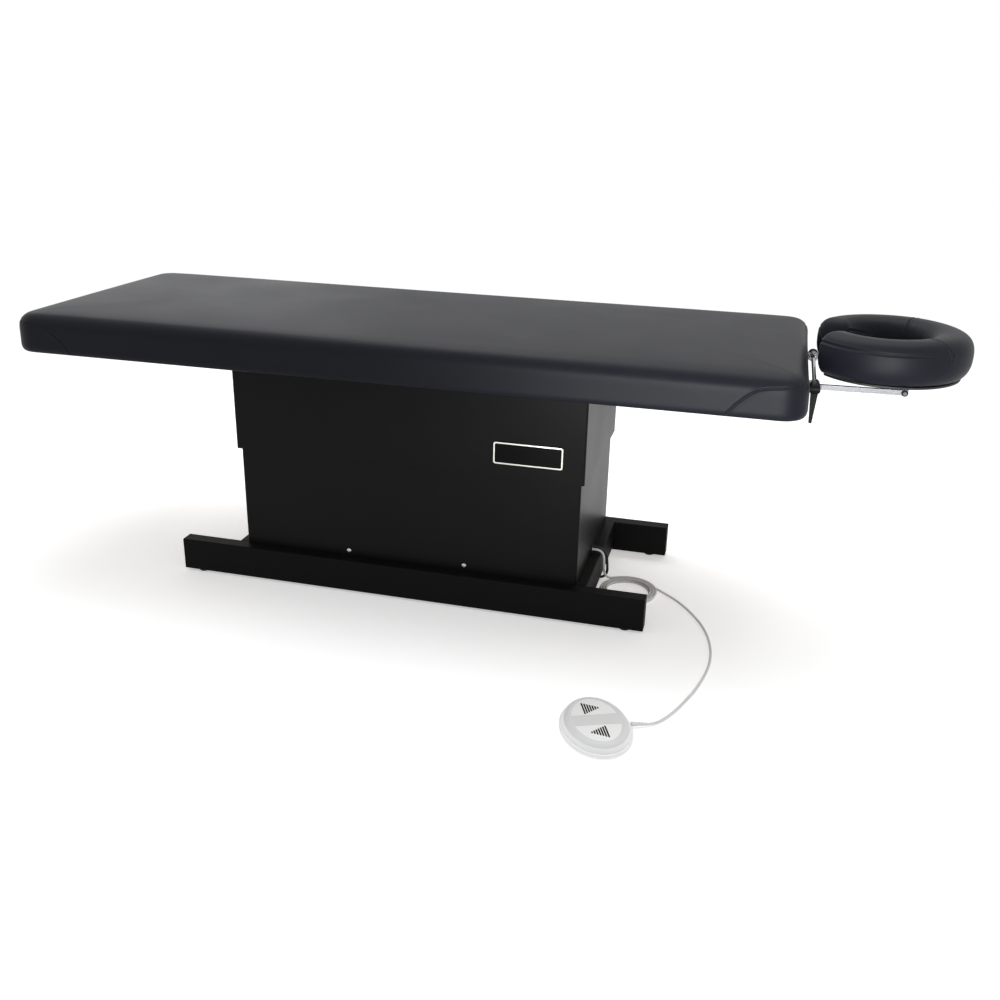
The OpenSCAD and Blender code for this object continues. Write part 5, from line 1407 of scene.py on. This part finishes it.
def makePlugPins(s):
    low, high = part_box("mains_plug")
    x, z = (low.x + high.x) / 2, (low.z + high.z) / 2
    pins = [pinAlongY(s, x + side * s["gauge"] / 2, z, s["bladeThick"] / 2, s["bladeWide"] / 2,
        low.y + s["bladeBack"], 4) for side in (-1, 1)]
    radius = s["groundRadius"]
    pins.append(pinAlongY(s, x, z - s["groundDrop"], radius, radius, low.y - skinGap, s["groundSides"]))
    piece = joined("plugPins", pins)
    cleanNormals(piece)
    smoothShade(piece, 30)
    addTrim(piece, "base", finishes["plugBlades"])


makePlugPins(plugSettings)

# black rings on the ends of the face rest's outer axle
ringSettings = {"outer": 0.0067, "inner": 0.0042, "long": 0.0054, "rounding": 0.0006, "tipLong": 0.0024,
    "sides": 32}


def makeAxleRings(s):
    low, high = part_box("outer_axle")
    x, z = (low.x + high.x) / 2, (low.z + high.z) / 2
    outer, inner, rounding = s["outer"], s["inner"], s["rounding"]
    pieces = []
    for side, end in ((-1, low.y), (1, high.y)):
        far = end - side * s["tipLong"]
        near = far - side * s["long"]
        section = [(inner, near), (outer - rounding, near), (outer, near + side * rounding),
            (outer, far - side * rounding), (outer - rounding, far), (inner, far)]
        pieces.append(ringSkin("axleRing", [[Vector((x + r * c, y, z + r * n)) for c, n in circle(s["sides"])]
            for r, y in section]))
    ring = joined("axleRings", pieces)
    cleanNormals(ring)
    finishPiece(ring, "face_arms", "lever_plastic", angle=30)


makeAxleRings(ringSettings)
print("plug pins and axle rings made", sinceStart(), "s")

# rigid pieces with broken edges, over the CAD's own outlines: name, width and steps of the edge
edgeSettings = {
    "cam_lever": ("camLever", 0.0009, 3), "rod_nut": ("rodKnob", 0.0008, 2),
    "face_arms": ("faceArms", 0.0007, 2), "face_platform": ("facePlatform", 0.0010, 2),
    "control_box": ("controlBox", 0.0012, 2),
    "deck_side_rails": ("deckSideRails", 0.0015, 2), "deck_end_rails": ("deckEndRails", 0.0015, 2),
    "deck_battens": ("deckBattens", 0.0015, 2), "near_rail": ("nearRail", 0.0004, 2),
    "far_rail": ("farRail", 0.0004, 2), "rail_end_caps": ("railEndCaps", 0.0008, 2),
    "upper_cover": ("upperCover", 0.0004, 2), "lower_cover": ("lowerCover", 0.0004, 2),
    "mount_plates": ("mountPlates", 0.0008, 2),
}
sliver = 0.002 * millimetre
flatWithin = math.radians(0.6)    # CAD faces this close to one plane are joined
sharpFrom = math.radians(32)    # edges sharper than this are broken


def brokenEdges(nodeName, name, width, segments):
    source = nodes[nodeName]
    mesh = source.data.copy()
    mesh.name = name
    piece = linkObject(name, mesh)
    with editing(mesh) as work:
        bmesh.ops.remove_doubles(work, verts=work.verts, dist=sliver)
        bmesh.ops.dissolve_limit(work, angle_limit=flatWithin, verts=work.verts, edges=work.edges)
        sharp = [e for e in work.edges if len(e.link_faces) == 2 and e.calc_face_angle(0) > sharpFrom]
        bmesh.ops.bevel(work, geom=sharp, offset=width, segments=segments, profile=0.5, affect="EDGES",
            clamp_overlap=True)
    smoothShade(piece, 30)
    flat = piece.modifiers.new("flatSides", "WEIGHTED_NORMAL")
    flat.keep_sharp = True
    flat.weight = 100
    applyModifiers(piece)
    slotName = next(p["material_slot"] for p in frame["record"]["subparts"] if p["node"] == nodeName)
    finishPiece(piece, source["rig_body"], slotName, (nodeName,), angle=None)


for nodeName, row in edgeSettings.items():
    brokenEdges(nodeName, *row)
print("edges broken:", len(edgeSettings), sinceStart(), "s")

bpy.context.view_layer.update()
print("sizes written", sinceStart(), "s")
